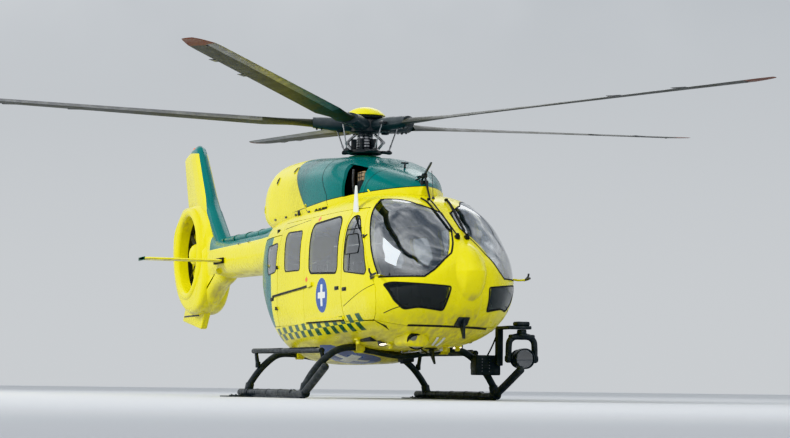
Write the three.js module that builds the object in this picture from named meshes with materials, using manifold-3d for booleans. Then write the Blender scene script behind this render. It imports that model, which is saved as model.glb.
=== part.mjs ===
// A light twin-engined rescue helicopter on skids, with a five-bladed main rotor
// and a shrouded tail rotor. Millimetres: +X to the nose, +Y to port, +Z up.
// Lengths along the body are given from the main rotor's axis; the whole group is
// then shifted so that its origin lies on the ground, in the middle of its outline.
import * as THREE from 'three';
import { mergeVertices } from 'three/addons/utils/BufferGeometryUtils.js';
import Module from 'manifold-3d';

const wasm = await Module();
wasm.setup();

// Driving dimensions
const ORIGIN_X = -1853; // middle of the whole outline, along the body
const FIXED_GAP = 0.4; // between pieces that rest on each other
const DOOR_GAP = 7; // around a moving door
const WALL = 45; // thickness of cabin walls and doors
const GLASS = 8;
const FLOOR_Z = 640;
const SWING_GAP = 6.4; // cut clear of a door on its way open
const ROTOR_RADIUS = 5400;
const ROTOR_Z = 3290;
const MAST_TILT = THREE.MathUtils.degToRad(1.2); // nose-down
const BLADE_CONING = THREE.MathUtils.degToRad(2.9);
const FIRST_BLADE = THREE.MathUtils.degToRad(34.3); // from the nose towards port
const BLADE_COUNT = 5;
const HUB_BASE = 85; // lowest face of the hub below the rotor's centre
const HUB_CAP = { radius: 240, base: 125, height: 105 };
const FAN = { x: -7300, z: 2130, duct: 575, blade: 563, count: 10 };
const SKID_Y = 1170;
const SKID_R = 44;
const TUBE_R = 40;

const SIDES = [['left', 1], ['right', -1]];

// Cabin pod sections: x, lowest z, highest z, half width, z of the greatest width,
// and the roundness below and above it (2 is an ellipse, more is squarer)
const POD = [
  [3360, 1260, 1400, 50, 1320, 2.0, 2.0],
  [3300, 1060, 1550, 250, 1300, 2.0, 2.0],
  [3180, 920, 1650, 420, 1280, 2.1, 2.0],
  [3000, 790, 1770, 590, 1270, 2.2, 2.0],
  [2700, 660, 1970, 765, 1260, 2.3, 2.2],
  [2300, 580, 2200, 855, 1250, 2.4, 2.5],
  [1800, 555, 2310, 870, 1250, 2.6, 3.2],
  [1200, 545, 2350, 865, 1250, 2.9, 3.8],
  [300, 410, 2360, 865, 1250, 2.9, 3.8],
  [-500, 405, 2360, 862, 1270, 2.8, 3.7],
  [-800, 440, 2360, 858, 1280, 2.8, 3.6],
  [-1200, 540, 2360, 830, 1350, 2.5, 3.4],
  [-1600, 790, 2340, 765, 1450, 2.2, 3.2],
  [-2000, 1160, 2310, 630, 1620, 2.0, 3.0],
  [-2300, 1520, 2240, 440, 1800, 2.0, 2.6],
  [-2420, 1750, 2060, 200, 1900, 2.0, 2.0],
];
const POD_STATIONS = [
  3360, 3330, 3260, 3150, 3000, 2820, 2600, 2300, 1980, 1600, 1200, 300, -500, -900, -1250,
  -1600, -1850, -2100, -2300, -2420,
];
const POD_SIDES = 32;

// Cowling over engines and gearbox: x, lowest z, highest z, half width, z of width,
// roundness below and above
const COWL = [
  [2000, 2150, 2390, 60, 2250, 2.0, 2.0],
  [1860, 2150, 2470, 210, 2270, 2.4, 2.2],
  [1440, 2100, 2620, 430, 2300, 3.0, 2.6],
  [930, 2060, 2760, 600, 2320, 3.0, 3.0],
  [440, 2040, 2865, 680, 2330, 3.0, 3.2],
  [-300, 2040, 2930, 700, 2330, 3.0, 3.2],
  [-1000, 2040, 2985, 695, 2330, 3.0, 3.2],
  [-1600, 2040, 3000, 690, 2350, 3.0, 3.0],
  [-2050, 2080, 2930, 615, 2380, 2.6, 2.8],
  [-2450, 2140, 2760, 440, 2400, 2.3, 2.4],
  [-2900, 2210, 2480, 240, 2340, 2.0, 2.0],
];
const COWL_STATIONS = [2000, 1860, 1680, 1440, 930, 440, -300, -1000, -1600, -1850, -2050, -2450, -2900];
const COWL_SIDES = 20;

// Tail boom: same columns
const BOOM = [
  [-2060, 1760, 2330, 370, 2050, 2.2, 2.2],
  [-2900, 1690, 2290, 310, 1990, 2.2, 2.2],
  [-3700, 1670, 2240, 262, 1960, 2.2, 2.2],
  [-5200, 1690, 2240, 238, 1965, 2.2, 2.2],
  [-5900, 1705, 2280, 215, 1980, 2.3, 2.3],
  [-6420, 1590, 2420, 180, 2000, 2.6, 2.6],
];
const BOOM_STATIONS = [-2060, -2900, -3700, -5200, -5900, -6160, -6420];
const BOOM_SIDES = 20;

// Seams and openings in side view: x, z
const COCKPIT_REAR = 1650;
const LOWER_SEAM = [[-2600, 200], [3600, 200], [3600, 785], [2750, 795], [2380, 860], [-2600, 860]];
const ROOF_SEAM = [[-2600, 1985], [-715, 1985], [-715, 2125], [1952, 2125], [2250, 2700], [-2600, 2700]];
const COCKPIT_DOOR = [
  [COCKPIT_REAR, 860], [COCKPIT_REAR, 2125], [1952, 2125], [2190, 1780], [2520, 1310], [2585, 1200],
  [2560, 1060], [2490, 940], [2380, 860],
];
const SLIDING_DOOR = [[327, 860], [327, 2125], [1645, 2125], [1645, 860]];
const SIDE_PANEL = [[-712, 860], [-712, 2125], [327, 2125], [327, 860]];
const CLAMSHELL = [[-720, 866], [-720, 1978], [-2600, 1978], [-2600, 866]];
const COCKPIT_WINDOW = [
  [1725, 1415], [1690, 1960], [1740, 2040], [1850, 2045], [1960, 1975], [2250, 1650], [2385, 1400], [2350, 1355],
];
const SLIDING_WINDOW = [
  [560, 1450], [500, 1500], [470, 1960], [520, 2035], [1370, 2065], [1480, 2000], [1510, 1480], [1460, 1410],
];
const SIDE_WINDOW = [
  [-425, 1515], [-500, 1950], [-450, 1995], [90, 1985], [130, 1940], [160, 1530], [130, 1505],
];
const CLAMSHELL_WINDOW = [
  [-800, 1530], [-790, 1860], [-840, 1890], [-1260, 1870], [-1290, 1820], [-1210, 1540], [-1160, 1510],
];
const WINDSHIELD_SIDE = [
  [2690, 1200], [2600, 1360], [2330, 1740], [2050, 2080], [1960, 2190], [1700, 2400], [1700, 2800], [4000, 2800],
  [4000, 1200],
];
const INTAKE = [[895, 2315], [885, 2560], [760, 2745], [1150, 2665], [1285, 2500], [1235, 2345]];

// Windshield header in plan (x, y) and its lower edge from the front (y, z)
const WINDSHIELD_PLAN = [
  [2620, 0], [2570, 70], [2480, 160], [2380, 250], [2150, 350], [1700, 640], [1300, 1000], [4000, 1000], [4000, 0],
];
const WINDSHIELD_FRONT = [
  [45, 2600], [45, 1860], [125, 1680], [190, 1560], [270, 1490], [370, 1380], [460, 1305],
  [680, 1310], [1000, 1310], [1000, 2600],
];
const CHIN_WINDOW_FRONT = [
  [215, 1205], [250, 945], [330, 960], [480, 985], [590, 962], [680, 1060], [765, 1240], [710, 1258],
];

// Cross tubes as seen from the front (y, z), port half; the other half mirrors it
const FRONT_TUBE_X = 1300;
const REAR_TUBE_X = -830;
const FRONT_BEND = [[1158, 150], [1070, 290], [960, 420], [800, 540], [620, 585], [400, 555], [0, 500]];
const REAR_BEND = [[1158, 150], [1060, 290], [950, 410], [800, 515], [600, 530], [300, 490], [0, 470]];
const CROSS_TUBES = [
  { end: 'front', x: FRONT_TUBE_X, bend: FRONT_BEND },
  { end: 'rear', x: REAR_TUBE_X, bend: REAR_BEND },
];

// Door hinges, port side: x, y, z of each pair of knuckles
const KNUCKLE = 44;
const SWEEP_ANGLES = [2, 4, 6, 8, 10, 12, 14, 16, 18, 20]; // degrees
const COCKPIT_HINGES = [[2187, 804, 1784], [2517, 836, 1314]];
const CLAMSHELL_HINGES = [[-716, 874, 1080], [-716, 874, 1580]];

const M = {
  yellow: paint(0xe8dc25, 0.38),
  green: paint(0x11695a, 0.35),
  black: paint(0x202423, 0.6),
  blade: paint(0x34393a, 0.7),
  glass: paint(0x9fb0bd, 0.12),
  dark: paint(0x2b2e2d, 0.7),
  seat: paint(0x23352f, 0.9),
  steel: paint(0x8b8d8c, 0.4, 0.8),
};

function paint(color, roughness, metalness = 0) {
  return new THREE.MeshStandardMaterial({ color, roughness, metalness });
}

// Solids

function solid(geometry) {
  const bare = new THREE.BufferGeometry();
  bare.setAttribute('position', geometry.getAttribute('position'));
  if (geometry.index) bare.setIndex(geometry.index);
  const merged = mergeVertices(bare, 1e-3);
  return new wasm.Manifold(new wasm.Mesh({
    numProp: 3,
    vertProperties: new Float32Array(merged.attributes.position.array),
    triVerts: new Uint32Array(merged.index.array),
  }));
}

function union(...parts) {
  return parts.flat().reduce((all, one) => all.add(one));
}

// Slope of each column at row k, kept flat where the column turns back
function slopes(rows, k) {
  const here = rows[k];
  const before = rows[k - 1];
  const after = rows[k + 1];
  return here.map((value, c) => {
    const one = before ? (value - before[c]) / (here[0] - before[0]) : null;
    const two = after ? (after[c] - value) / (after[0] - here[0]) : null;
    if (one === null) return two;
    if (two === null) return one;
    return one * two > 0 ? (2 * one * two) / (one + two) : 0;
  });
}

// Columns of a table at x, on a smooth curve through the rows
function column(rows, x) {
  const found = rows.findIndex((row, k) => k > 0 && x >= row[0]);
  const i = found < 0 ? rows.length - 1 : found;
  const [from, to] = [rows[i - 1], rows[i]];
  const [a, b] = [slopes(rows, i - 1), slopes(rows, i)];
  const span = to[0] - from[0];
  const t = (x - from[0]) / span;
  const weight = {
    from: 2 * t ** 3 - 3 * t ** 2 + 1,
    to: 3 * t ** 2 - 2 * t ** 3,
    leaving: (t ** 3 - 2 * t ** 2 + t) * span,
    reaching: (t ** 3 - t ** 2) * span,
  };
  return from.map((v, c) => v * weight.from + to[c] * weight.to + a[c] * weight.leaving + b[c] * weight.reaching);
}

// One section of a body as points in space
function ring([x, low, high, width, middle, roundBelow, roundAbove], count) {
  return Array.from({ length: count }, (_, k) => {
    const angle = (2 * Math.PI * k) / count;
    const [c, s] = [Math.cos(angle), Math.sin(angle)];
    const power = 2 / (s >= 0 ? roundAbove : roundBelow);
    const height = s >= 0 ? high - middle : middle - low;
    const y = width * Math.sign(c) * Math.abs(c) ** power;
    const z = middle + height * Math.sign(s) * Math.abs(s) ** power;
    return new THREE.Vector3(x, y, z);
  });
}

// A closed skin through a list of rings that have the same number of points
function skin(rings) {
  const count = rings[0].length;
  const points = rings.flat();
  const faces = [];
  for (let r = 0; r + 1 < rings.length; r += 1) {
    for (let k = 0; k < count; k += 1) {
      const a = r * count + k;
      const b = r * count + ((k + 1) % count);
      faces.push(a, a + count, b, b, a + count, b + count);
    }
  }
  const first = points.push(centroid(rings[0])) - 1;
  const last = points.push(centroid(rings.at(-1))) - 1;
  const end = (rings.length - 1) * count;
  for (let k = 0; k < count; k += 1) {
    const next = (k + 1) % count;
    faces.push(first, k, next, last, end + next, end + k);
  }
  const geometry = new THREE.BufferGeometry();
  geometry.setAttribute('position', new THREE.Float32BufferAttribute(points.flatMap((p) => p.toArray()), 3));
  geometry.setIndex(faces);
  const made = solid(geometry);
  if (made.volume() > 0) return made;
  geometry.setIndex(faces.map((_, i) => faces[i - (i % 3) + [0, 2, 1][i % 3]]));
  return solid(geometry);
}

function centroid(points) {
  return points.reduce((sum, p) => sum.add(p), new THREE.Vector3()).divideScalar(points.length);
}

// Body from a table, drawn in by wall on every side
function body(rows, stations, wall, count) {
  const low = Math.min(...rows.map((r) => r[1]));
  const high = Math.max(...rows.map((r) => r[2]));
  const width = Math.max(...rows.map((r) => r[3]));
  const size = new THREE.Vector3(stations[0] - stations.at(-1), 2 * width, high - low);
  const middle = new THREE.Vector3((stations[0] + stations.at(-1)) / 2, 0, (low + high) / 2);
  const scale = new THREE.Vector3(1 - (2 * wall) / size.x, 1 - (2 * wall) / size.y, 1 - (2 * wall) / size.z);
  return skin(stations.map((x) => ring(column(rows, x), count)
    .map((p) => p.sub(middle).multiply(scale).add(middle))));
}

const ACROSS_Y = new THREE.Matrix4().set(1, 0, 0, 0, 0, 0, 1, 0, 0, 1, 0, 0, 0, 0, 0, 1);
const ACROSS_X = new THREE.Matrix4().set(0, 0, 1, 0, 1, 0, 0, 0, 0, 1, 0, 0, 0, 0, 0, 1);

// Outline extruded along Y (drawn in x, z), X (drawn in y, z) or Z (drawn in x, y)
function prism(axis, outline, from, to) {
  const shape = new THREE.Shape(outline.map(([a, b]) => new THREE.Vector2(a, b)));
  const geometry = new THREE.ExtrudeGeometry(shape, { depth: Math.abs(to - from), bevelEnabled: false });
  geometry.translate(0, 0, Math.min(from, to));
  if (axis === 'x') geometry.applyMatrix4(ACROSS_X);
  if (axis === 'y') layAcrossY(geometry);
  return solid(geometry);
}

// Turns an extrusion so that it runs along Y, with its faces still pointing out
function layAcrossY(geometry) {
  geometry.applyMatrix4(ACROSS_Y);
  const p = geometry.getAttribute('position');
  for (let i = 0; i < p.count; i += 3) {
    const [x, y, z] = [p.getX(i), p.getY(i), p.getZ(i)];
    p.setXYZ(i, p.getX(i + 1), p.getY(i + 1), p.getZ(i + 1));
    p.setXYZ(i + 1, x, y, z);
  }
}

// Closed smooth curve through the points of an outline
function rounded(outline, count) {
  const curve = new THREE.CatmullRomCurve3(outline.map(([a, b]) => new THREE.Vector3(a, b, 0)), true, 'centripetal');
  return curve.getSpacedPoints(count).slice(0, count).map((p) => [p.x, p.y]);
}

// Outline drawn in (positive) or out (negative) by a distance
function inset(outline, distance) {
  const area = outline.reduce((sum, [x, y], i) => {
    const [u, v] = outline[(i + 1) % outline.length];
    return sum + x * v - u * y;
  }, 0);
  const turn = Math.sign(area);
  return outline.map((here, i) => {
    const before = outline[(i + outline.length - 1) % outline.length];
    const after = outline[(i + 1) % outline.length];
    const one = new THREE.Vector2(here[0] - before[0], here[1] - before[1]).normalize();
    const two = new THREE.Vector2(after[0] - here[0], after[1] - here[1]).normalize();
    const normal = new THREE.Vector2(-one.y - two.y, one.x + two.x).multiplyScalar(turn);
    const scale = distance / (1 + one.dot(two));
    return [here[0] + normal.x * scale, here[1] + normal.y * scale];
  });
}

function mirror(outline, s) {
  return outline.map(([a, b]) => [a * s, b]);
}

function box(x0, x1, y0, y1, z0, z1) {
  const geometry = new THREE.BoxGeometry(x1 - x0, Math.abs(y1 - y0), z1 - z0);
  geometry.translate((x0 + x1) / 2, (y0 + y1) / 2, (z0 + z1) / 2);
  return solid(geometry);
}

// Cylinder or cone between two points
function rod(from, to, radius, sides = 12, radiusTo = radius) {
  const a = new THREE.Vector3(...from);
  const b = new THREE.Vector3(...to);
  const along = b.clone().sub(a);
  const geometry = new THREE.CylinderGeometry(radiusTo, radius, along.length(), sides);
  geometry.applyQuaternion(new THREE.Quaternion().setFromUnitVectors(new THREE.Vector3(0, 1, 0), along.normalize()));
  geometry.translate(...a.add(b).divideScalar(2).toArray());
  return solid(geometry);
}

// Round tube along points
function tube(points, radius, steps, sides = 10) {
  const path = new THREE.CatmullRomCurve3(points.map((p) => new THREE.Vector3(...p)), false, 'centripetal');
  const circle = Array.from({ length: sides }, (_, k) => {
    const angle = (2 * Math.PI * k) / sides;
    return new THREE.Vector2(radius * Math.cos(angle), radius * Math.sin(angle));
  });
  return solid(new THREE.ExtrudeGeometry(new THREE.Shape(circle), { steps, extrudePath: path }));
}

function ball(centre, radii, wide = 16, tall = 10) {
  const geometry = new THREE.SphereGeometry(1, wide, tall);
  geometry.scale(...radii);
  geometry.translate(...centre);
  return solid(geometry);
}

// The group that is handed out

const helicopter = new THREE.Group();
helicopter.name = 'rescue_helicopter';
helicopter.position.x = -ORIGIN_X;

function piece(name, made, material) {
  const out = made.getMesh();
  const geometry = new THREE.BufferGeometry();
  const points = new Float32Array(out.numVert * 3);
  for (let i = 0; i < out.numVert; i += 1) {
    points.set(out.vertProperties.subarray(i * out.numProp, i * out.numProp + 3), i * 3);
  }
  geometry.setAttribute('position', new THREE.BufferAttribute(points, 3));
  geometry.setIndex(new THREE.BufferAttribute(out.triVerts, 1));
  const mesh = new THREE.Mesh(geometry, material);
  mesh.name = name;
  helicopter.add(mesh);
  return mesh;
}

// Cabin pod

const podOuter = body(POD, POD_STATIONS, 0, POD_SIDES);
const podInner = body(POD, POD_STATIONS, WALL, POD_SIDES);
const podGlass = body(POD, POD_STATIONS, GLASS, POD_SIDES);
const podClear = body(POD, POD_STATIONS, -FIXED_GAP, POD_SIDES);
const boomOuter = body(BOOM, BOOM_STATIONS, 0, BOOM_SIDES);
const boomClear = body(BOOM, BOOM_STATIONS, -DOOR_GAP, BOOM_SIDES);
const boomSeat = body(BOOM, BOOM_STATIONS, -FIXED_GAP, BOOM_SIDES);
const shell = podOuter.subtract(podInner);
const pane = podOuter.subtract(podGlass);
const sweptWall = body(POD, POD_STATIONS, -SWING_GAP, POD_SIDES)
  .subtract(body(POD, POD_STATIONS, WALL + SWING_GAP, POD_SIDES));
const LOAD_FLOOR = { rear: -1050, front: 250, half: 450, z: FLOOR_Z + 10 };
const BEYOND = 1400; // a cut to this half width leaves the body on that side
const SIDE_CUT_DEPTH = 250;

function sideCut(outline, s) {
  return prism('y', outline, s * SIDE_CUT_DEPTH, s * BEYOND);
}

function windshieldCut(s, gap) {
  return prism('x', inset(mirror(WINDSHIELD_FRONT, s), gap), 1500, 3600)
    .intersect(prism('y', inset(WINDSHIELD_SIDE, gap), 0, s * BEYOND))
    .intersect(prism('z', inset(WINDSHIELD_PLAN.map(([x, y]) => [x, y * s]), gap), 1200, 2600));
}

function chinCut(s, gap) {
  return prism('x', inset(mirror(CHIN_WINDOW_FRONT, s), gap), 2450, 3600);
}

function lowerFuselage() {
  const under = prism('y', LOWER_SEAM, -BEYOND, BEYOND);
  const room = podInner.intersect(box(-2600, 3600, -BEYOND, BEYOND, FLOOR_Z, 3000));
  const channels = CROSS_TUBES.map(({ x, bend }) => crossTube(x, bend, TUBE_R + FIXED_GAP));
  const loadFloor = box(LOAD_FLOOR.rear, LOAD_FLOOR.front, -LOAD_FLOOR.half, LOAD_FLOOR.half, FLOOR_Z - 5, LOAD_FLOOR.z);
  const doors = SIDES.map(([, s]) => cockpitSweep(s));
  return podOuter.subtract(room).intersect(under).subtract(union(channels, doors)).add(loadFloor);
}

function cabinRoof() {
  const above = prism('y', inset(ROOF_SEAM, FIXED_GAP), -BEYOND, BEYOND);
  const glass = union(SIDES.map(([, s]) => windshieldCut(s, 0)));
  return shell.intersect(above).subtract(boomSeat).subtract(glass);
}

function cockpitShell() {
  let made = shell.intersect(box(COCKPIT_REAR, 4000, -BEYOND, BEYOND, 400, 2800))
    .subtract(prism('y', ROOF_SEAM, -BEYOND, BEYOND))
    .subtract(prism('y', inset(LOWER_SEAM, -FIXED_GAP), -BEYOND, BEYOND));
  for (const [, s] of SIDES) {
    made = made.subtract(sideCut(COCKPIT_DOOR, s)).subtract(windshieldCut(s, 0)).subtract(chinCut(s, 0));
  }
  return largest(made);
}

// Space that a cockpit door takes up over the first part of its swing
function cockpitSweep(s) {
  const [top, bottom] = cockpitHingeLine(s);
  const along = bottom.clone().sub(top).normalize();
  const door = sweptWall.intersect(sideCut(inset(COCKPIT_DOOR, DOOR_GAP - SWING_GAP), s));
  return union(SWEEP_ANGLES.map((degrees) => {
    const turn = new THREE.Matrix4().makeTranslation(top)
      .multiply(new THREE.Matrix4().makeRotationAxis(along, s * THREE.MathUtils.degToRad(degrees)))
      .multiply(new THREE.Matrix4().makeTranslation(top.clone().negate()));
    return door.transform(turn.elements);
  }));
}

function cockpitHingeLine(s) {
  return COCKPIT_HINGES.map(([x, y, z]) => new THREE.Vector3(x, y * s, z));
}

// Half of a hinge: a knuckle on the axis with an arm to the panel that carries it
function knuckle([x, y, z], along, end, arm) {
  const step = along.clone().multiplyScalar(end * KNUCKLE / 2);
  const start = along.clone().multiplyScalar(end * FIXED_GAP / 2);
  const from = [x + start.x, y + start.y, z + start.z];
  const to = [x + step.x, y + step.y, z + step.z];
  const middle = from.map((v, i) => (v + to[i]) / 2);
  return union(rod(from, to, 11, 10), rod(middle, middle.map((v, i) => v + arm[i]), 8, 8));
}

function cockpitHinges(s, end) {
  const [top, bottom] = cockpitHingeLine(s);
  const along = top.clone().sub(bottom).normalize();
  const arm = [-end * 34, -s * 32, -end * 24];
  return union([top, bottom].map((at) => knuckle(at.toArray(), along, end, arm)));
}

function clamshellHinges(s, end) {
  const along = new THREE.Vector3(0, 0, 1);
  const arm = [-end * 36, -s * 38, 0];
  return union(CLAMSHELL_HINGES.map(([x, y, z]) => knuckle([x, y * s, z], along, end, arm)));
}

piece('lower_fuselage', lowerFuselage(), M.yellow);
piece('cabin_roof', cabinRoof(), M.yellow);
const hingesOnShell = union(SIDES.map(([, s]) => cockpitHinges(s, -1)));
piece('cockpit_shell', cockpitShell().add(hingesOnShell), M.yellow);
piece('nose_radome', ball([3230, 0, 1365], [255, 185, 275], 20, 14).subtract(podClear), M.yellow);

function panel(outline, window, gap, s) {
  return shell.intersect(sideCut(inset(outline, gap), s)).subtract(sideCut(window, s));
}

function sidePane(window, s) {
  return pane.intersect(sideCut(inset(window, FIXED_GAP), s));
}

function clamshell(s) {
  return shell.intersect(prism('y', CLAMSHELL, s * DOOR_GAP / 2, s * BEYOND))
    .subtract(boomClear)
    .subtract(sideCut(CLAMSHELL_WINDOW, s));
}

for (const [side, s] of SIDES) {
  piece(`cockpit_door_${side}`, panel(COCKPIT_DOOR, COCKPIT_WINDOW, DOOR_GAP, s).add(cockpitHinges(s, 1)), M.yellow);
  piece(`cockpit_window_${side}`, sidePane(COCKPIT_WINDOW, s), M.glass);
  const slider = panel(SLIDING_DOOR, SLIDING_WINDOW, FIXED_GAP, s).subtract(cockpitSweep(s));
  piece(`sliding_door_${side}`, slider, M.yellow);
  piece(`sliding_window_${side}`, sidePane(SLIDING_WINDOW, s), M.glass);
  piece(`side_panel_${side}`, panel(SIDE_PANEL, SIDE_WINDOW, FIXED_GAP, s).add(clamshellHinges(s, -1)), M.yellow);
  piece(`side_window_${side}`, sidePane(SIDE_WINDOW, s), M.glass);
  piece(`clamshell_door_${side}`, clamshell(s).add(clamshellHinges(s, 1)), M.green);
  piece(`clamshell_window_${side}`, sidePane(CLAMSHELL_WINDOW, s), M.glass);
  piece(`windshield_${side}`, pane.intersect(windshieldCut(s, FIXED_GAP)), M.glass);
  piece(`chin_window_${side}`, pane.intersect(chinCut(s, FIXED_GAP)), M.glass);
}

// Cowlings, engines and exhausts

const COWL_WALL = 22;
const COWL_SEAM = -300;
const MAST_HOLE = 190;
const MAST_R = 85;
const GEARBOX = { radius: 300, low: 2300, high: 2780 };
const ENGINE_BLOCK = { rear: -1750, front: -420, half: 420, low: 2300, high: 2780 };
const EXHAUST = { radius: 125, wall: 18, from: [-1800, 235, 2590], to: [-2560, 275, 2570] };

const cowlOuter = body(COWL, COWL_STATIONS, 0, COWL_SIDES);
const cowlInner = body(COWL, COWL_STATIONS, COWL_WALL, COWL_SIDES);
const cowlClear = body(COWL, COWL_STATIONS, -FIXED_GAP, COWL_SIDES);

// Point on the mast's axis
function onMast(height) {
  return [(height - ROTOR_Z) * Math.tan(MAST_TILT), 0, height];
}

const exhausts = SIDES.map(([side, s]) => {
  const [from, to] = [EXHAUST.from, EXHAUST.to].map(([x, y, z]) => [x, s * y, z]);
  return { side, from, to };
});

function exhaustPipe({ from, to }) {
  const beyond = to.map((v, i) => v + (v - from[i]) * 0.1);
  const near = from.map((v, i) => v + (to[i] - v) * 0.25);
  return rod(from, to, EXHAUST.radius, 20).subtract(rod(near, beyond, EXHAUST.radius - EXHAUST.wall, 20));
}

function exhaustClear({ from, to }) {
  const beyond = to.map((v, i) => v + (v - from[i]) * 0.1);
  return rod(from, beyond, EXHAUST.radius + 2 * FIXED_GAP, 20);
}

function cowling() {
  const holes = [
    rod(onMast(2700), onMast(3100), MAST_HOLE, 24),
    ...SIDES.map(([, s]) => prism('y', INTAKE, s * SIDE_CUT_DEPTH, s * 900)),
    ...exhausts.map(exhaustClear),
  ];
  return cowlOuter.subtract(cowlInner).subtract(podClear).subtract(boomSeat).subtract(union(holes));
}

const wholeCowling = cowling();
const cowlFront = box(COWL_SEAM + FIXED_GAP, 2500, -BEYOND, BEYOND, 1900, 3200);
const cowlRear = box(-3200, COWL_SEAM, -BEYOND, BEYOND, 1900, 3200);
piece('cowling_front', wholeCowling.intersect(cowlFront), M.green);
piece('cowling_rear', wholeCowling.intersect(cowlRear), M.yellow);

const { rear, front, half, low, high } = ENGINE_BLOCK;
piece('engines', box(rear, front, -half, half, low, high).subtract(podClear), M.dark);
const engineClear = box(rear - FIXED_GAP, front, -half, half, low, high);
for (const e of exhausts) {
  piece(`exhaust_${e.side}`, exhaustPipe(e).subtract(engineClear).subtract(podClear), M.steel);
}
const gearbox = rod([0, 0, GEARBOX.low], [0, 0, GEARBOX.high], GEARBOX.radius, 20);
const mast = rod(onMast(GEARBOX.high - 50), onMast(ROTOR_Z - HUB_BASE - FIXED_GAP), MAST_R, 20);
piece('rotor_mast', union(gearbox, mast).subtract(podClear), M.dark);

// Main rotor: hub with five arms, five blades

function onRotor(made) {
  const m = new THREE.Matrix4().makeTranslation(0, 0, ROTOR_Z)
    .multiply(new THREE.Matrix4().makeRotationY(MAST_TILT));
  return made.transform(m.elements);
}

function aroundRotor(made, k) {
  const angle = FIRST_BLADE + (2 * Math.PI * k) / BLADE_COUNT;
  return made.transform(new THREE.Matrix4().makeRotationZ(angle).elements);
}

const BLADE_ROOT = 640;
const CHORD = 300;

function hub() {
  const rise = (r) => r * Math.tan(BLADE_CONING);
  const { radius, base, height } = HUB_CAP;
  const dome = ball([0, 0, base], [radius, radius, height], 20, 10)
    .subtract(box(-BEYOND, BEYOND, -BEYOND, BEYOND, -HUB_BASE, base));
  const centre = union(rod([0, 0, -HUB_BASE], [0, 0, 90], 190, 16), rod([0, 0, 89], [0, 0, base + 1], 150, 16), dome);
  const arms = Array.from({ length: BLADE_COUNT }, (_, k) => {
    const arm = skin([
      [120, 95, 52], [260, 98, 62], [480, 104, 60], [BLADE_ROOT - FIXED_GAP, 116, 52],
    ].map(([r, half, thick]) => ellipse(r, 0, rise(r), half, thick, 10)));
    const damper = rod([300, 0, rise(300) - 95], [300, 0, rise(300) - 20], 62, 10);
    const horn = union(box(330, 400, -190, -80, rise(350) - 25, rise(350) + 15),
      rod([365, -170, rise(350)], [250, -150, -300], 14, 6));
    return aroundRotor(union(arm, damper, horn), k);
  });
  const swash = rod([0, 0, -345], [0, 0, -285], 290, 20).subtract(rod([0, 0, -400], [0, 0, -250], 95, 20));
  return onRotor(union(centre, arms, swash));
}

function ellipse(x, y, z, halfWidth, halfHeight, count) {
  return Array.from({ length: count }, (_, k) => {
    const angle = (2 * Math.PI * k) / count;
    return new THREE.Vector3(x, y + halfWidth * Math.cos(angle), z + halfHeight * Math.sin(angle));
  });
}

// Blade section: leading edge towards +Y (the rotor turns that way), twisted by angle
function aerofoil(r, chord, thick, twist) {
  const outline = [[0.28, 0], [0.2, 0.42], [0.05, 0.5], [-0.3, 0.3], [-0.72, 0.03],
    [-0.72, -0.03], [-0.3, -0.25], [0.05, -0.42], [0.2, -0.36]];
  return outline.map(([c, t]) => {
    const y = c * chord;
    const z = t * thick;
    return new THREE.Vector3(r, y * Math.cos(twist) - z * Math.sin(twist), y * Math.sin(twist) + z * Math.cos(twist));
  });
}

// Blade stations: radius, chord, thickness, twist in degrees
const BLADE = [
  [BLADE_ROOT, 232, 106, 12],
  [900, 205, 80, 12],
  [1250, 300, 50, 11],
  [3200, 300, 36, 7],
  [4950, 300, 32, 4],
  [5250, 230, 26, 3],
  [ROTOR_RADIUS, 130, 16, 3],
];

function blade() {
  return skin(BLADE.map(([r, chord, thick, twist]) => {
    const rise = r * Math.tan(BLADE_CONING);
    const sweep = chord < 300 && r > 3000 ? -(300 - chord) * 0.42 : 0;
    return aerofoil(r, chord, thick, THREE.MathUtils.degToRad(twist)).map((p) => p.add(new THREE.Vector3(0, sweep, rise)));
  }));
}

piece('rotor_hub', hub(), M.dark);
for (let k = 0; k < BLADE_COUNT; k += 1) {
  piece(`rotor_blade_${k + 1}`, onRotor(aroundRotor(blade(), k)), M.blade);
}

// Tail

const TAIL_BEVEL = 110;
const SHROUD_TOP = 2900;
const SHROUD_HALF = 225;
const SHROUD_ARC = [
  [-6400, 2540], [-6330, 2050], [-6350, 1620], [-6620, 1310], [-7000, 1210], [-7450, 1270], [-7850, 1490],
  [-8110, 1850], [-8200, 2280], [-8130, 2620],
];
const SHROUD = [
  ...rounded([...SHROUD_ARC, [-7700, 3000], [-6900, 2950]], 30).filter(([, z]) => z < 2690),
  [-7960, SHROUD_TOP], [-6660, SHROUD_TOP],
];

// Fairing between the boom and the shroud, from the fin's root down to the ventral fin
const FAIRING = [
  [-6660, SHROUD_TOP], [-5950, 2315], [-5560, 1960], [-5640, 1705], [-6140, 1545], [-6650, 1290],
  [-6990, 1225], [-7050, 1700], [-7000, 2300],
];
const FAIRING_HALF = 165;
const FAIRING_BEVEL = 105;
const BOOM_WALL = 16;
const SHROUD_WALL = 18;
const FIN_WALL = 12;
const FIN_BASE = SHROUD_TOP + FIXED_GAP;
const FIN_FOOT = 2820; // the fin is drawn down to here and cut off flat at its base
const FIN = [[-6600, FIN_FOOT], [-7340, 3790], [-7430, 3840], [-8270, 3700], [-7929, FIN_FOOT]];
const FIN_HALF = 110;
const FIN_BEVEL = 40;
const FIN_DUCT = { rear: -7700, front: -7100, half: 50 }; // way for cables between shroud and fin
const VENTRAL_FIN = [[-6700, 1400], [-7050, 985], [-8110, 1135], [-7800, 1560]];
const VENTRAL_HALF = 50;
const VENTRAL_BEVEL = 22;
const STATOR = { hub: 165, face: 85, back: 210, vanes: 11, from: 100, to: 170, half: 12, phase: 0.3 };
const DUCT_FLARE = 105; // radius of the duct's rounded edges
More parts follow.
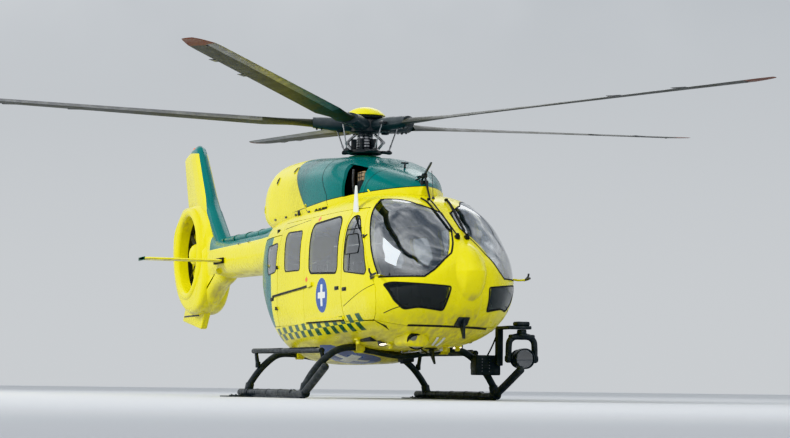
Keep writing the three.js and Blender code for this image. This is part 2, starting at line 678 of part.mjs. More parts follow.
const STABILIZER = { x: -5430, z: 1930, half: 1400, chord: 450, tipChord: 330 };
const STABILIZER_SECTION = [
  [0.5, 0], [0.3, 0.08], [-0.1, 0.075], [-0.5, 0.01], [-0.5, -0.01], [-0.1, -0.06], [0.3, -0.07],
];

// Drive shaft cover on the boom: x, z, half width, half height
const SHAFT_COVER = [
  [-2850, 2230, 70, 20],
  [-3000, 2262, 110, 62],
  [-5900, 2262, 95, 58],
  [-6100, 2262, 60, 30],
];

function bevelled(outline, halfWidth, bevel, segments = 2) {
  const drawn = inset(outline, bevel);
  const shape = new THREE.Shape(drawn.map(([a, b]) => new THREE.Vector2(a, b)));
  const geometry = new THREE.ExtrudeGeometry(shape, {
    depth: 2 * (halfWidth - bevel), bevelEnabled: true, bevelThickness: bevel, bevelSize: bevel, bevelSegments: segments,
  });
  geometry.translate(0, 0, bevel - halfWidth);
  layAcrossY(geometry);
  return solid(geometry);
}

function fanRod(y0, y1, radius, sides) {
  return rod([FAN.x, y0, FAN.z], [FAN.x, y1, FAN.z], radius, sides);
}

// Turned about the fan's axis by a share of a full turn
function aroundFan(made, y, share) {
  const turn = new THREE.Matrix4().makeTranslation(FAN.x, y, FAN.z)
    .multiply(new THREE.Matrix4().makeRotationY(2 * Math.PI * share));
  return made.transform(turn.elements);
}

function fanRing(radius, y, count) {
  return Array.from({ length: count }, (_, k) => {
    const angle = (2 * Math.PI * k) / count;
    return new THREE.Vector3(FAN.x + radius * Math.cos(angle), y, FAN.z + radius * Math.sin(angle));
  });
}

// Air duct, which widens to both faces of the shroud on a quarter circle; grown by a wall
function duct(wall) {
  const bore = FAN.duct + wall;
  const flare = DUCT_FLARE - wall;
  const port = Array.from({ length: 5 }, (_, k) => {
    const angle = (Math.PI / 2) * (k / 4);
    return [bore + flare * (1 - Math.cos(angle)), SHROUD_HALF - wall - flare * (1 - Math.sin(angle))];
  });
  const profile = [...port, [FAN.duct + DUCT_FLARE, SHROUD_HALF + 40]];
  const starboard = profile.map(([radius, y]) => [radius, -y]).reverse();
  return skin([...starboard, ...profile].map(([radius, y]) => fanRing(radius, y, 36)));
}

function finDuct(low, high) {
  const { rear: back, front: fore, half: wide } = FIN_DUCT;
  return box(back, fore, -wide, wide, low, high);
}

// Room left inside a bevelled piece by walls of one thickness
function hollow(outline, halfWidth, bevel, wall, segments) {
  return bevelled(inset(outline, wall), halfWidth - wall, bevel - wall, segments);
}

function tailFin() {
  const under = (height) => box(-8500, -6400, -FIN_HALF, FIN_HALF, FIN_FOOT, height);
  const inside = hollow(FIN, FIN_HALF, FIN_BEVEL, FIN_WALL).subtract(under(FIN_BASE + FIN_WALL))
    .add(finDuct(FIN_BASE - 1, FIN_BASE + FIN_WALL + 1));
  return bevelled(FIN, FIN_HALF, FIN_BEVEL).subtract(under(FIN_BASE)).subtract(inside);
}

function shroud() {
  const vane = box(STATOR.hub - 15, FAN.duct + 20, STATOR.from, STATOR.to, -STATOR.half, STATOR.half);
  const vanes = Array.from({ length: STATOR.vanes }, (_, k) => aroundFan(vane, 0, (k + STATOR.phase) / STATOR.vanes));
  const ventralFin = bevelled(VENTRAL_FIN, VENTRAL_HALF, VENTRAL_BEVEL);
  const inside = hollow(SHROUD, SHROUD_HALF, TAIL_BEVEL, SHROUD_WALL, 3).subtract(duct(SHROUD_WALL))
    .add(finDuct(SHROUD_TOP - SHROUD_WALL - 1, SHROUD_TOP + 1));
  const casing = union(bevelled(SHROUD, SHROUD_HALF, TAIL_BEVEL, 3).subtract(inside), ventralFin.subtract(inside));
  return union(casing.subtract(duct(0)), vanes, fanRod(STATOR.face, STATOR.back, STATOR.hub, 20));
}

function stabilizer(spans, grow) {
  return skin(spans.map(([y, chord]) => STABILIZER_SECTION.map(([c, t]) => new THREE.Vector3(
    STABILIZER.x + c * (chord + 2 * grow), y, STABILIZER.z + t * chord + Math.sign(t) * grow,
  ))));
}

function shaftCover(wall) {
  const made = skin(SHAFT_COVER.map(([x, z, halfWidth, halfHeight]) => (
    ellipse(x, 0, z, halfWidth - wall, halfHeight - wall, 12)
  )));
  return made.subtract(box(-6400, -2000, -200, 200, 1900, 2150));
}

function tailBoom() {
  const { half: reach, chord } = STABILIZER;
  const clear = [
    stabilizer([[-reach - 100, chord], [reach + 100, chord]], FIXED_GAP),
    bevelled(inset(SHROUD, -FIXED_GAP), SHROUD_HALF + FIXED_GAP, TAIL_BEVEL, 3),
    bevelled(inset(VENTRAL_FIN, -FIXED_GAP), VENTRAL_HALF + FIXED_GAP, VENTRAL_BEVEL),
    cowlClear,
  ];
  const fairing = bevelled(FAIRING, FAIRING_HALF, FAIRING_BEVEL, 3);
  const inside = union(
    body(BOOM, BOOM_STATIONS, BOOM_WALL, BOOM_SIDES),
    shaftCover(BOOM_WALL),
    hollow(FAIRING, FAIRING_HALF, FAIRING_BEVEL, BOOM_WALL, 3),
  ).subtract(body(COWL, COWL_STATIONS, -BOOM_WALL, COWL_SIDES));
  return largest(union(boomOuter, shaftCover(0), fairing).subtract(inside).subtract(union(clear)));
}

const { half: reach, chord, tipChord } = STABILIZER;
piece('tail_boom', tailBoom(), M.yellow);
piece('tail_shroud', shroud(), M.yellow);
piece('tail_fin', tailFin(), M.yellow);
const spans = [[-reach, tipChord], [70 - reach, chord], [reach - 70, chord], [reach, tipChord]];
piece('horizontal_stabilizer', stabilizer(spans, 0), M.yellow);

const FAN_HUB = { y: -30, half: 90, front: 60, radius: 175, shaft: 60 };
const FAN_BLADE = { root: 150, half: 32, thick: 7, pitch: THREE.MathUtils.degToRad(35), uneven: 0.014 };

function fan() {
  const pitch = new THREE.Matrix4().makeRotationX(FAN_BLADE.pitch);
  const { thick, half: halfChord } = FAN_BLADE;
  const one = box(FAN_BLADE.root, FAN.blade, -thick, thick, -halfChord, halfChord).transform(pitch.elements);
  const blades = Array.from({ length: FAN.count }, (_, k) => (
    aroundFan(one, FAN_HUB.y, k / FAN.count + (k % 2) * FAN_BLADE.uneven)
  ));
  const drum = fanRod(-FAN_HUB.half, FAN_HUB.front, FAN_HUB.radius, 24);
  const shaft = fanRod(FAN_HUB.front - 1, STATOR.face - FIXED_GAP, FAN_HUB.shaft, 16);
  const dome = ball([FAN.x, -FAN_HUB.half, FAN.z], [FAN_HUB.radius - 5, 90, FAN_HUB.radius - 5], 20, 10);
  return union(drum, shaft, dome, blades);
}
piece('tail_rotor', fan(), M.yellow);

// Landing gear

const SKID_AXIS_Z = SKID_R + 12;
const PLATE_THICK = 14;
const SHOE_HALF = 30;
const SOCKET_R = 52;
const STEP_R = 34;

// Skid tube from rear to front: x, z
const SKID_PATH = [
  [-1150, SKID_AXIS_Z], [-400, SKID_AXIS_Z], [600, SKID_AXIS_Z], [1280, SKID_AXIS_Z],
  [1480, SKID_AXIS_Z + 70], [2020, 350],
];
const SNOW_PLATE = [
  [-1120, -190], [-1050, -280], [-620, -280], [-540, -190], [-540, 190], [-620, 280], [-1050, 280], [-1120, 190],
];
const STEP_PATH = [[-900, 1085, 560], [200, 1010, 552], [1250, 945, 545]];
const STEP_FEET = [[REAR_TUBE_X, 1080], [FRONT_TUBE_X - 60, 945]];

function skid(s) {
  const path = SKID_PATH.map(([x, z]) => [x, s * SKID_Y, z]);
  const plate = SNOW_PLATE.map(([x, y]) => [x, y + s * (SKID_Y + 20)]);
  const shoe = box(-1150, 1280, s * SKID_Y - SHOE_HALF, s * SKID_Y + SHOE_HALF, 0, SHOE_HALF);
  return union(tube(path, SKID_R, 14, 8), prism('z', plate, 0, PLATE_THICK), shoe);
}

function crossTube(x, bend, radius) {
  const port = bend.map(([y, z]) => [x, y, z]);
  const starboard = port.slice(0, -1).reverse().map(([a, y, z]) => [a, -y, z]);
  return tube([...port, ...starboard], radius, 26, 8);
}

// Cross tube with a socket on each skid
function socketedTube({ x, bend }, grow) {
  const sockets = SIDES.map(([, s]) => rod([x, s * 1150, 160], [x, s * SKID_Y, 60 - grow], SOCKET_R + grow, 14));
  return union(crossTube(x, bend, TUBE_R + grow), sockets);
}

function step(s) {
  const rail = tube(STEP_PATH.map(([x, y, z]) => [x, s * y, z]), STEP_R, 8, 8);
  const feet = STEP_FEET.map(([x, y]) => rod([x, s * y, 560], [x, s * (y - 30), 330], 22, 8));
  return union(rail, feet);
}

function largest(made) {
  return made.decompose().sort((a, b) => b.volume() - a.volume())[0];
}

const tubesClear = union(CROSS_TUBES.map((t) => socketedTube(t, FIXED_GAP)));
for (const t of CROSS_TUBES) piece(`cross_tube_${t.end}`, socketedTube(t, 0), M.black);
for (const [side, s] of SIDES) {
  piece(`skid_${side}`, largest(skid(s).subtract(tubesClear)), M.black);
  piece(`step_${side}`, largest(step(s).subtract(tubesClear)), M.black);
}

// Searchlight on the port end of the front cross tube

const LAMP = { x: 1780, y: 1290, z: 480, radius: 118, half: 112 };

function searchlightMount() {
  const crate = box(FRONT_TUBE_X, 1475, 860, 1165, 290, 520);
  const top = LAMP.z + 375;
  const post = box(1475, 1545, 1090, 1165, 400, top);
  const arm = box(1475, 1840, 1090, 1165, top - 40, top);
  const plate = box(1700, 1860, 1090, 1380, top - 40, top);
  return union(crate, post, arm, plate);
}
piece('searchlight_mount', searchlightMount().subtract(tubesClear), M.black);

function searchlightYoke() {
  const { x, y, z } = LAMP;
  const bridge = z + 235;
  const pan = rod([x, y, bridge + 30], [x, y, bridge + 100 - FIXED_GAP], 55, 16);
  const bar = box(x - 45, x + 45, y - 175, y + 175, bridge, bridge + 40);
  const arms = [-1, 1].map((s) => box(x - 40, x + 40, y + s * 160 - 15, y + s * 160 + 15, z - 45, bridge + 5));
  return union(pan, bar, arms);
}
piece('searchlight_yoke', searchlightYoke(), M.black);

function searchlightLamp() {
  const { x, y, z, half: halfLength } = LAMP;
  const drum = rod([x - halfLength, y, z], [x + halfLength, y, z], LAMP.radius, 24);
  const pin = 145 - FIXED_GAP;
  return union(drum, rod([x, y - pin, z], [x, y + pin, z], 28, 12));
}
piece('searchlight_lamp', searchlightLamp(), M.black);

// Wire cutters and inside of the cabin

// Struts of the upper cutter: x, z at each end; they cross in front of the rotor
const UPPER_CUTTER = [
  [[1560, 2520], [1960, 2510]],
  [[1900, 2475], [2170, 2630]],
  [[1960, 2510], [2150, 2190]],
  [[1930, 2510], [1790, 2400]],
];
const STRUT_R = 15;
const LOWER_CUTTER = [[2150, 640], [2250, 640], [2330, 400], [2310, 395], [2190, 500]];

function upperCutter() {
  const base = box(1720, 1980, -45, 45, 2380, 2480);
  const struts = UPPER_CUTTER.map(([[x0, z0], [x1, z1]]) => rod([x0, 0, z0], [x1, 0, z1], STRUT_R, 8));
  return union(base, struts).subtract(cowlClear).subtract(podClear);
}
piece('wire_cutter_upper', largest(upperCutter()), M.black);
piece('wire_cutter_lower', largest(prism('y', LOWER_CUTTER, -10, 10).subtract(podClear)), M.black);

const SEAT = { depth: 470, pan: 380 };

function seat(x, y, halfWidth, backTop) {
  const base = FLOOR_Z + FIXED_GAP;
  const pan = box(x, x + SEAT.depth, y - halfWidth, y + halfWidth, base, FLOOR_Z + SEAT.pan);
  const outline = [
    [x - 20, FLOOR_Z + SEAT.pan], [x - 100, backTop], [x + 20, backTop], [x + 120, FLOOR_Z + SEAT.pan - 10],
  ];
  return union(pan, prism('y', outline, y - halfWidth, y + halfWidth));
}

const room = body(POD, POD_STATIONS, WALL + 5, POD_SIDES);
for (const [side, s] of SIDES) piece(`pilot_seat_${side}`, seat(1500, s * 400, 240, 1640).intersect(room), M.seat);
piece('cabin_seats', seat(420, 0, 700, 1660).intersect(room), M.seat);

const PANEL = [
  [2340, FLOOR_Z + FIXED_GAP], [2340, 1200], [2420, 1340], [2560, 1340], [2600, 1200], [2640, FLOOR_Z + FIXED_GAP],
];
piece('instrument_panel', prism('y', PANEL, -300, 300).intersect(room), M.dark);

export default helicopter;
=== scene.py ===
"""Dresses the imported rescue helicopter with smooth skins, glass, fittings and finishes.

Pieces are drawn in metres with x counted from the main rotor's axis, +X to the nose,
+Y to port and +Z up, and are shifted into the frame when they are linked.
"""
import math
from functools import lru_cache

import bmesh
import bpy
from bpy.props import FloatProperty, FloatVectorProperty, IntProperty, PointerProperty
from mathutils import Matrix, Vector


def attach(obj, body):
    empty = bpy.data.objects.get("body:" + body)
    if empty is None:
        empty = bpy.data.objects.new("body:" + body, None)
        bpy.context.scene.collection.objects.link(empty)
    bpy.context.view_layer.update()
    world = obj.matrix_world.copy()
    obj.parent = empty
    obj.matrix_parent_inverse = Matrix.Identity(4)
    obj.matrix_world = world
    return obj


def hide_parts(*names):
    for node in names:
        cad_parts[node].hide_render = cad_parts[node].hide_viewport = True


bl_info = {
    "name": "Rescue Helicopter Dressing",
    "version": (1, 0, 0),
    "blender": (4, 5, 0),
    "location": "View3D > Sidebar > Helicopter",
    "description": "Builds the skins, glass, rotors, landing gear and fittings of a rescue helicopter",
    "category": "Object",
}

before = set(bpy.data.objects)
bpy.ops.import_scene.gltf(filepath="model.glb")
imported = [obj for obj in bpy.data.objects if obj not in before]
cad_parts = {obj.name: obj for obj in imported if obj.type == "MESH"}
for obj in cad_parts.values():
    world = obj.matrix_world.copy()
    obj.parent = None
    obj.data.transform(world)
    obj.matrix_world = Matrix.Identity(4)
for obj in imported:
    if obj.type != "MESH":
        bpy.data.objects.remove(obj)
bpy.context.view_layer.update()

# Driving dimensions, in metres
ROTOR_X = 1.853  # main rotor's axis ahead of the frame's origin
SEAM = 0.003  # half of the seam between two fixed panels
DOOR_SEAM = 0.007  # half of the seam round a cockpit door
CLAM_SEAM = 0.0035  # half of the seam between the clamshell doors
SWING_GAP = 0.0064  # cut clear of a door on its way open
WALL = 0.045  # thickness of the cabin's wall
COWL_WALL = 0.022
GLASS = 0.008
PANE_GAP = 0.0006  # between a pane and its frame
FLOOR_Z = 0.64  # top of the cabin floor
ROTOR_Z = 3.29
ROTOR_R = 5.4
MAST_TILT = math.radians(1.2)
CONING = math.radians(2.9)
FIRST_BLADE = math.radians(34.3)
BLADES = 5
CHORD = 0.3  # of a main rotor blade
FAN = Vector((-7.3, 0.0, 2.13))  # centre of the tail rotor
FAN_DUCT = 0.575
FAN_BLADE = 0.563
FAN_BLADES = 10
VANES = 11  # of the stator in the tail rotor's duct
SHROUD_HALF = 0.225  # half of the shroud's width
BEYOND = 1.4  # half width of what cuts right through the body
SIDES = (("left", 1), ("right", -1))
BOTH = (-1, 1)
AHEAD, PORT, UP, DOWN = (1, 0, 0), (0, 1, 0), (0, 0, 1), (0, 0, -1)
TURN = 2 * math.pi

# Sections: x, lowest z, highest z, half width, z of the greatest width (mm),
# and the roundness below and above it
POD = [
    (3360, 1260, 1400, 50, 1320, 2.0, 2.0),
    (3300, 1060, 1550, 250, 1300, 2.0, 2.0),
    (3180, 920, 1650, 420, 1280, 2.1, 2.0),
    (3000, 790, 1770, 590, 1270, 2.2, 2.0),
    (2700, 660, 1970, 765, 1260, 2.3, 2.2),
    (2300, 580, 2200, 855, 1250, 2.4, 2.5),
    (1800, 555, 2310, 870, 1250, 2.6, 3.2),
    (1200, 545, 2350, 865, 1250, 2.9, 3.8),
    (300, 410, 2360, 865, 1250, 2.9, 3.8),
    (-500, 405, 2360, 862, 1270, 2.8, 3.7),
    (-800, 440, 2360, 858, 1280, 2.8, 3.6),
    (-1200, 540, 2360, 830, 1350, 2.5, 3.4),
    (-1600, 790, 2340, 765, 1450, 2.2, 3.2),
    (-2000, 1160, 2310, 630, 1620, 2.0, 3.0),
    (-2300, 1520, 2240, 440, 1800, 2.0, 2.6),
    (-2420, 1750, 2060, 200, 1900, 2.0, 2.0),
]
POD_STATIONS = (
    3360, 3330, 3260, 3150, 3000, 2820, 2600, 2300, 1980, 1600, 1200, 300, -500, -900, -1250,
    -1600, -1850, -2100, -2300, -2420,
)
COWL = [
    (2000, 2150, 2390, 60, 2250, 2.0, 2.0),
    (1860, 2150, 2470, 210, 2270, 2.4, 2.2),
    (1440, 2100, 2620, 430, 2300, 3.0, 2.6),
    (930, 2060, 2760, 600, 2320, 3.0, 3.0),
    (440, 2040, 2865, 680, 2330, 3.0, 3.2),
    (-300, 2040, 2930, 700, 2330, 3.0, 3.2),
    (-1000, 2040, 2985, 695, 2330, 3.0, 3.2),
    (-1600, 2040, 3000, 690, 2350, 3.0, 3.0),
    (-2050, 2080, 2930, 615, 2380, 2.6, 2.8),
    (-2450, 2140, 2760, 440, 2400, 2.3, 2.4),
    (-2900, 2210, 2480, 240, 2340, 2.0, 2.0),
]
COWL_STATIONS = (2000, 1860, 1680, 1440, 930, 440, -300, -1000, -1600, -1850, -2050, -2450, -2900)
BOOM = [
    (-2060, 1760, 2330, 370, 2050, 2.2, 2.2),
    (-2900, 1690, 2290, 310, 1990, 2.2, 2.2),
    (-3700, 1670, 2240, 262, 1960, 2.2, 2.2),
    (-5200, 1690, 2240, 238, 1965, 2.2, 2.2),
    (-5900, 1705, 2280, 215, 1980, 2.3, 2.3),
    (-6420, 1590, 2420, 180, 2000, 2.6, 2.6),
]
BOOM_STATIONS = (-2060, -2900, -3700, -5200, -5900, -6160, -6420)

# Outlines in mm. Side view: x, z. Front view: y, z. Plan: x, y.
LOWER_SEAM = ((-2600, 200), (3600, 200), (3600, 785), (2750, 795), (2380, 860), (-2600, 860))
ROOF_SEAM = (
    (-2600, 1985), (-715, 1985), (-715, 2125), (1952, 2125), (2250, 2700), (-2600, 2700),
)
COCKPIT_DOOR = (
    (1650, 860), (1650, 2125), (1952, 2125), (2190, 1780), (2520, 1310), (2585, 1200),
    (2560, 1060), (2490, 940), (2380, 860),
)
SLIDING_DOOR = ((327, 860), (327, 2125), (1645, 2125), (1645, 860))
SIDE_PANEL = ((-712, 860), (-712, 2125), (327, 2125), (327, 860))
CLAMSHELL = ((-720, 866), (-720, 1978), (-2600, 1978), (-2600, 866))
COCKPIT_WINDOW = (
    (1725, 1415), (1690, 1960), (1740, 2040), (1850, 2045), (1960, 1975), (2250, 1650),
    (2385, 1400), (2350, 1355),
)
SLIDING_WINDOW = (
    (560, 1450), (500, 1500), (470, 1960), (520, 2035), (1370, 2065), (1480, 2000),
    (1510, 1480), (1460, 1410),
)
SIDE_WINDOW = (
    (-425, 1515), (-500, 1950), (-450, 1995), (90, 1985), (130, 1940), (160, 1530), (130, 1505),
)
CLAMSHELL_WINDOW = (
    (-800, 1530), (-790, 1860), (-840, 1890), (-1260, 1870), (-1290, 1820), (-1210, 1540),
    (-1160, 1510),
)
WINDSHIELD_SIDE = (
    (2690, 1200), (2600, 1360), (2330, 1740), (2050, 2080), (1960, 2190), (1700, 2400),
    (1700, 2800), (4000, 2800), (4000, 1200),
)
WINDSHIELD_PLAN = (
    (2620, 0), (2570, 70), (2480, 160), (2380, 250), (2150, 350), (1700, 640), (1300, 1000),
    (4000, 1000), (4000, 0),
)
WINDSHIELD_FRONT = (
    (45, 2600), (45, 1860), (125, 1680), (190, 1560), (270, 1490), (370, 1380), (460, 1305),
    (680, 1310), (1000, 1310), (1000, 2600),
)
CHIN_WINDOW_FRONT = (
    (215, 1205), (250, 945), (330, 960), (480, 985), (590, 962), (680, 1060), (765, 1240),
    (710, 1258),
)
INTAKE = ((895, 2315), (885, 2560), (760, 2745), (1150, 2665), (1285, 2500), (1235, 2345))
COWL_SEAM = -0.3  # x of the seam between the front and the rear cowling

CROSS_TUBES = (
    ("front", 1300, ((1158, 150), (1070, 290), (960, 420), (800, 540), (620, 585), (400, 555), (0, 500))),
    ("rear", -830, ((1158, 150), (1060, 290), (950, 410), (800, 515), (600, 530), (300, 490), (0, 470))),
)
TUBE_R = 0.04  # radius of the cross tubes
SKID_Y = 1.17
SKID_R = 0.044
SKID_AXIS_Z = 0.056


# Numbers and outlines

def metres(outline):
    """Outline in metres of one in millimetres."""
    return [(a / 1000, b / 1000) for a, b in outline]


def inset(outline, distance):
    """Outline drawn in by a distance, or out by a negative one."""
    area = sum(a * d - c * b for (a, b), (c, d) in zip(outline, outline[1:] + outline[:1]))
    turn = math.copysign(1, area)
    points = [Vector(p) for p in outline]
    made = []
    for i, here in enumerate(points):
        one = (here - points[i - 1]).normalized()
        two = (points[(i + 1) % len(points)] - here).normalized()
        normal = Vector((-one.y - two.y, one.x + two.x)) * turn
        made.append(tuple(here + normal * distance / (1 + one.dot(two))))
    return made


def mirrored(outline, side):
    """Outline seen from the front, on the side that 1 or -1 names."""
    return [(a * side, b) for a, b in outline]


def plan_mirrored(outline, side):
    """Outline seen from above, on the side that 1 or -1 names."""
    return [(a, b * side) for a, b in outline]


def rounded(outline, radius, steps=4):
    """Outline with each corner drawn as a curve that starts a radius before it."""
    made = []
    for i, point in enumerate(outline):
        corner = Vector(point)
        before = Vector(outline[i - 1]) - corner
        after = Vector(outline[(i + 1) % len(outline)]) - corner
        reach = min(radius, before.length * 0.46, after.length * 0.46)
        start = corner + before.normalized() * reach
        end = corner + after.normalized() * reach
        for k in range(steps + 1):
            t = k / steps
            made.append(tuple(start * (1 - t) ** 2 + corner * 2 * t * (1 - t) + end * t ** 2))
    return made


def slopes(rows, k):
    """Slope of each column at row k, kept flat where the column turns back."""
    here = rows[k]
    made = []
    for c, value in enumerate(here):
        one = (value - rows[k - 1][c]) / (here[0] - rows[k - 1][0]) if k > 0 else None
        two = (rows[k + 1][c] - value) / (rows[k + 1][0] - here[0]) if k + 1 < len(rows) else None
        if one is None or two is None:
            made.append(two if one is None else one)
        else:
            made.append(2 * one * two / (one + two) if one * two > 0 else 0.0)
    return made


def column(rows, x):
    """Columns of a table at x, on a smooth curve through its rows."""
    i = next((k for k in range(1, len(rows)) if x >= rows[k][0]), len(rows) - 1)
    start, end = rows[i - 1], rows[i]
    a, b = slopes(rows, i - 1), slopes(rows, i)
    span = end[0] - start[0]
    t = (x - start[0]) / span
    return [
        (2 * t ** 3 - 3 * t ** 2 + 1) * v + (3 * t ** 2 - 2 * t ** 3) * end[c]
        + (t ** 3 - 2 * t ** 2 + t) * span * a[c] + (t ** 3 - t ** 2) * span * b[c]
        for c, v in enumerate(start)
    ]


def finer(stations, parts):
    """Stations in metres with each step cut into equal parts."""
    values = [s / 1000 for s in stations]
    made = []
    for a, b in zip(values, values[1:]):
        made += [a + (b - a) * k / parts for k in range(parts)]
    return made + [values[-1]]


def last_inside(inside, outside, holds, steps=24):
    """How far a test that holds inside still holds on the way outside."""
    for _ in range(steps):
        middle = (inside + outside) / 2
        if holds(middle):
            inside = middle
        else:
            outside = middle
    return inside


class Hull:
    """A smooth body through a table of sections, drawn in on every side by a distance."""

    def __init__(self, rows, stations, inward=0.0, count=96, parts=3):
        self.rows = [tuple(v / 1000 for v in row[:5]) + row[5:] for row in rows]
        self.stations = finer(stations, parts)
        self.count = count
        low = min(row[1] for row in self.rows)
        high = max(row[2] for row in self.rows)
        half = max(row[3] for row in self.rows)
        front, rear = self.stations[0], self.stations[-1]
        self.middle = Vector(((front + rear) / 2, 0, (low + high) / 2))
        size = (front - rear, 2 * half, high - low)
        self.scale = Vector([1 - 2 * inward / length for length in size])

    @lru_cache(maxsize=None)
    def section(self, x):
        return column(self.rows, max(min(x, self.stations[0]), self.stations[-1]))

    def place(self, x, cosine, sine):
        _, low, high, half, middle, below, above = self.section(x)
        power = 2 / (above if sine >= 0 else below)
        height = high - middle if sine >= 0 else middle - low
        y = half * math.copysign(abs(cosine) ** power, cosine)
        z = middle + height * math.copysign(abs(sine) ** power, sine)
        out = Vector((x, y, z)) - self.middle
        return Vector([out[i] * self.scale[i] for i in range(3)]) + self.middle

    def value(self, point):
        """One on the skin, less inside."""
        real = point - self.middle
        x, y, z = [real[i] / self.scale[i] + self.middle[i] for i in range(3)]
        _, low, high, half, middle, below, above = self.section(round(x, 4))
        power = above if z >= middle else below
        height = high - middle if z >= middle else middle - low
        return abs(y / half) ** power + abs((z - middle) / height) ** power

    def normal(self, point):
        step = 0.002
        here = self.value(point)
        slope = [self.value(point + Vector([step * (i == k) for i in range(3)])) - here for k in range(3)]
        return Vector(slope).normalized()

    def surface_y(self, x, z):
        """Half width of the skin at a height."""
        return last_inside(0.0, 2.0, lambda y: self.value(Vector((x, y, z))) < 1)

    def surface_z(self, x, y, top=False):
        """Height of the skin under or over a point of the plan."""
        _, low, high, _, middle, _, _ = self.section(x)
        outside = high + 0.2 if top else low - 0.2
        return last_inside(middle, outside, lambda z: self.value(Vector((x, y, z))) < 1)

    def mesh(self):
        bm = bmesh.new()
        loft(bm, self.stations, self.count, self.place)
        return to_mesh(bm)


# Mesh tools

def to_mesh(bm):
    bmesh.ops.recalc_face_normals(bm, faces=bm.faces)
    mesh = bpy.data.meshes.new("work")
    bm.to_mesh(mesh)
    bm.free()
    return mesh


def merge(bm, part, place):
    """Moves a finished part into place in another bmesh."""
    part.transform(place)
    bm.from_mesh(to_mesh(part))


def edges_of(verts):
    return list({edge for vert in verts for edge in vert.link_edges})


def join_rings(bm, rings):
    """Skin from ring to ring, and a face over both ends."""
    for a, b in zip(rings, rings[1:]):
        bmesh.ops.bridge_loops(bm, edges=a + b)
    for ring in (rings[0], rings[-1]):
        bmesh.ops.contextual_create(bm, geom=ring)


def loft(bm, rows, count, place):
    """Skin through one ring for each row. place(row, cosine, sine) gives a ring's points."""
    rings = []
    for row in rows:
        ring = bmesh.ops.create_circle(bm, cap_ends=False, radius=1.0, segments=count)["verts"]
        rings.append(edges_of(ring))
        for vert in ring:
            vert.co = place(row, vert.co.x, vert.co.y)
    join_rings(bm, rings)


def prism(bm, outline, axis, start, end):
    """Outline pushed along an axis: y takes x, z; x takes y, z; z takes x, y."""
    def at(a, b, along):
        return {"x": (along, a, b), "y": (a, along, b), "z": (a, b, along)}[axis]

    face = bm.faces.new([bm.verts.new(at(a, b, start)) for a, b in outline])
    made = bmesh.ops.extrude_face_region(bm, geom=[face])
    moved = [v for v in made["geom"] if isinstance(v, bmesh.types.BMVert)]
    bmesh.ops.translate(bm, verts=moved, vec=Vector(at(0, 0, end - start)))
    return list(face.verts) + moved


def prism_mesh(outline, axis, start, end):
    bm = bmesh.new()
    prism(bm, outline, axis, start, end)
    return to_mesh(bm)


def soften(bm, verts, width, segments=2, sharp=0.5):
    """Bevels the sharp edges between these points."""
    if width <= 0:
        return
    chosen = [
        e for e in edges_of(verts)
        if len(e.link_faces) == 2 and e.calc_face_angle(0) > sharp
    ]
    bmesh.ops.bevel(
        bm, geom=chosen, offset=width, offset_type="OFFSET", segments=segments, profile=0.5,
        affect="EDGES", clamp_overlap=True, material=-1,
    )


def slab(bm, outline, axis, start, end, bevel, segments=2, sharp=0.5):
    soften(bm, prism(bm, outline, axis, start, end), bevel, segments, sharp)


def block(bm, low, high, bevel=0.0, segments=2):
    verts = bmesh.ops.create_cube(bm, size=1.0)["verts"]
    low, high = Vector(low), Vector(high)
    for vert in verts:
        vert.co = Vector([(low[i] + high[i]) / 2 + vert.co[i] * abs(high[i] - low[i]) for i in range(3)])
    soften(bm, verts, bevel, segments)


def block_mesh(low, high, bevel=0.0, segments=2):
    bm = bmesh.new()
    block(bm, low, high, bevel, segments)
    return to_mesh(bm)


def rod(bm, start, end, radius, radius_end=None, segments=24, bevel=0.0):
    start, end = Vector(start), Vector(end)
    along = end - start
    place = Matrix.Translation((start + end) / 2) @ along.to_track_quat("Z", "Y").to_matrix().to_4x4()
    verts = bmesh.ops.create_cone(
        bm, cap_ends=True, segments=segments, radius1=radius,
        radius2=radius if radius_end is None else radius_end, depth=along.length, matrix=place,
    )["verts"]
    soften(bm, verts, bevel, 2, 0.9)


def rod_mesh(start, end, radius, segments=64):
    bm = bmesh.new()
    rod(bm, start, end, radius, segments=segments)
    return to_mesh(bm)


def ball(bm, centre, radii, segments, rings):
    verts = bmesh.ops.create_uvsphere(bm, u_segments=segments, v_segments=rings, radius=1.0)["verts"]
    for vert in verts:
        vert.co = Vector(centre) + Vector([vert.co[i] * radii[i] for i in range(3)])


def lathe(bm, centre, axis, profile, steps=48):
    """Turns a profile of (radius, distance along the axis) about the axis."""
    axis = Vector(axis).normalized()
    across = axis.orthogonal().normalized()
    centre = Vector(centre)
    verts = [bm.verts.new(centre + across * r + axis * h) for r, h in profile]
    edges = [bm.edges.new(pair) for pair in zip(verts, verts[1:])]
    bmesh.ops.spin(
        bm, geom=verts + edges, cent=centre, axis=axis, angle=TURN, steps=steps,
        use_merge=True, use_duplicate=False,
    )
    bmesh.ops.remove_doubles(bm, verts=bm.verts, dist=1e-5)


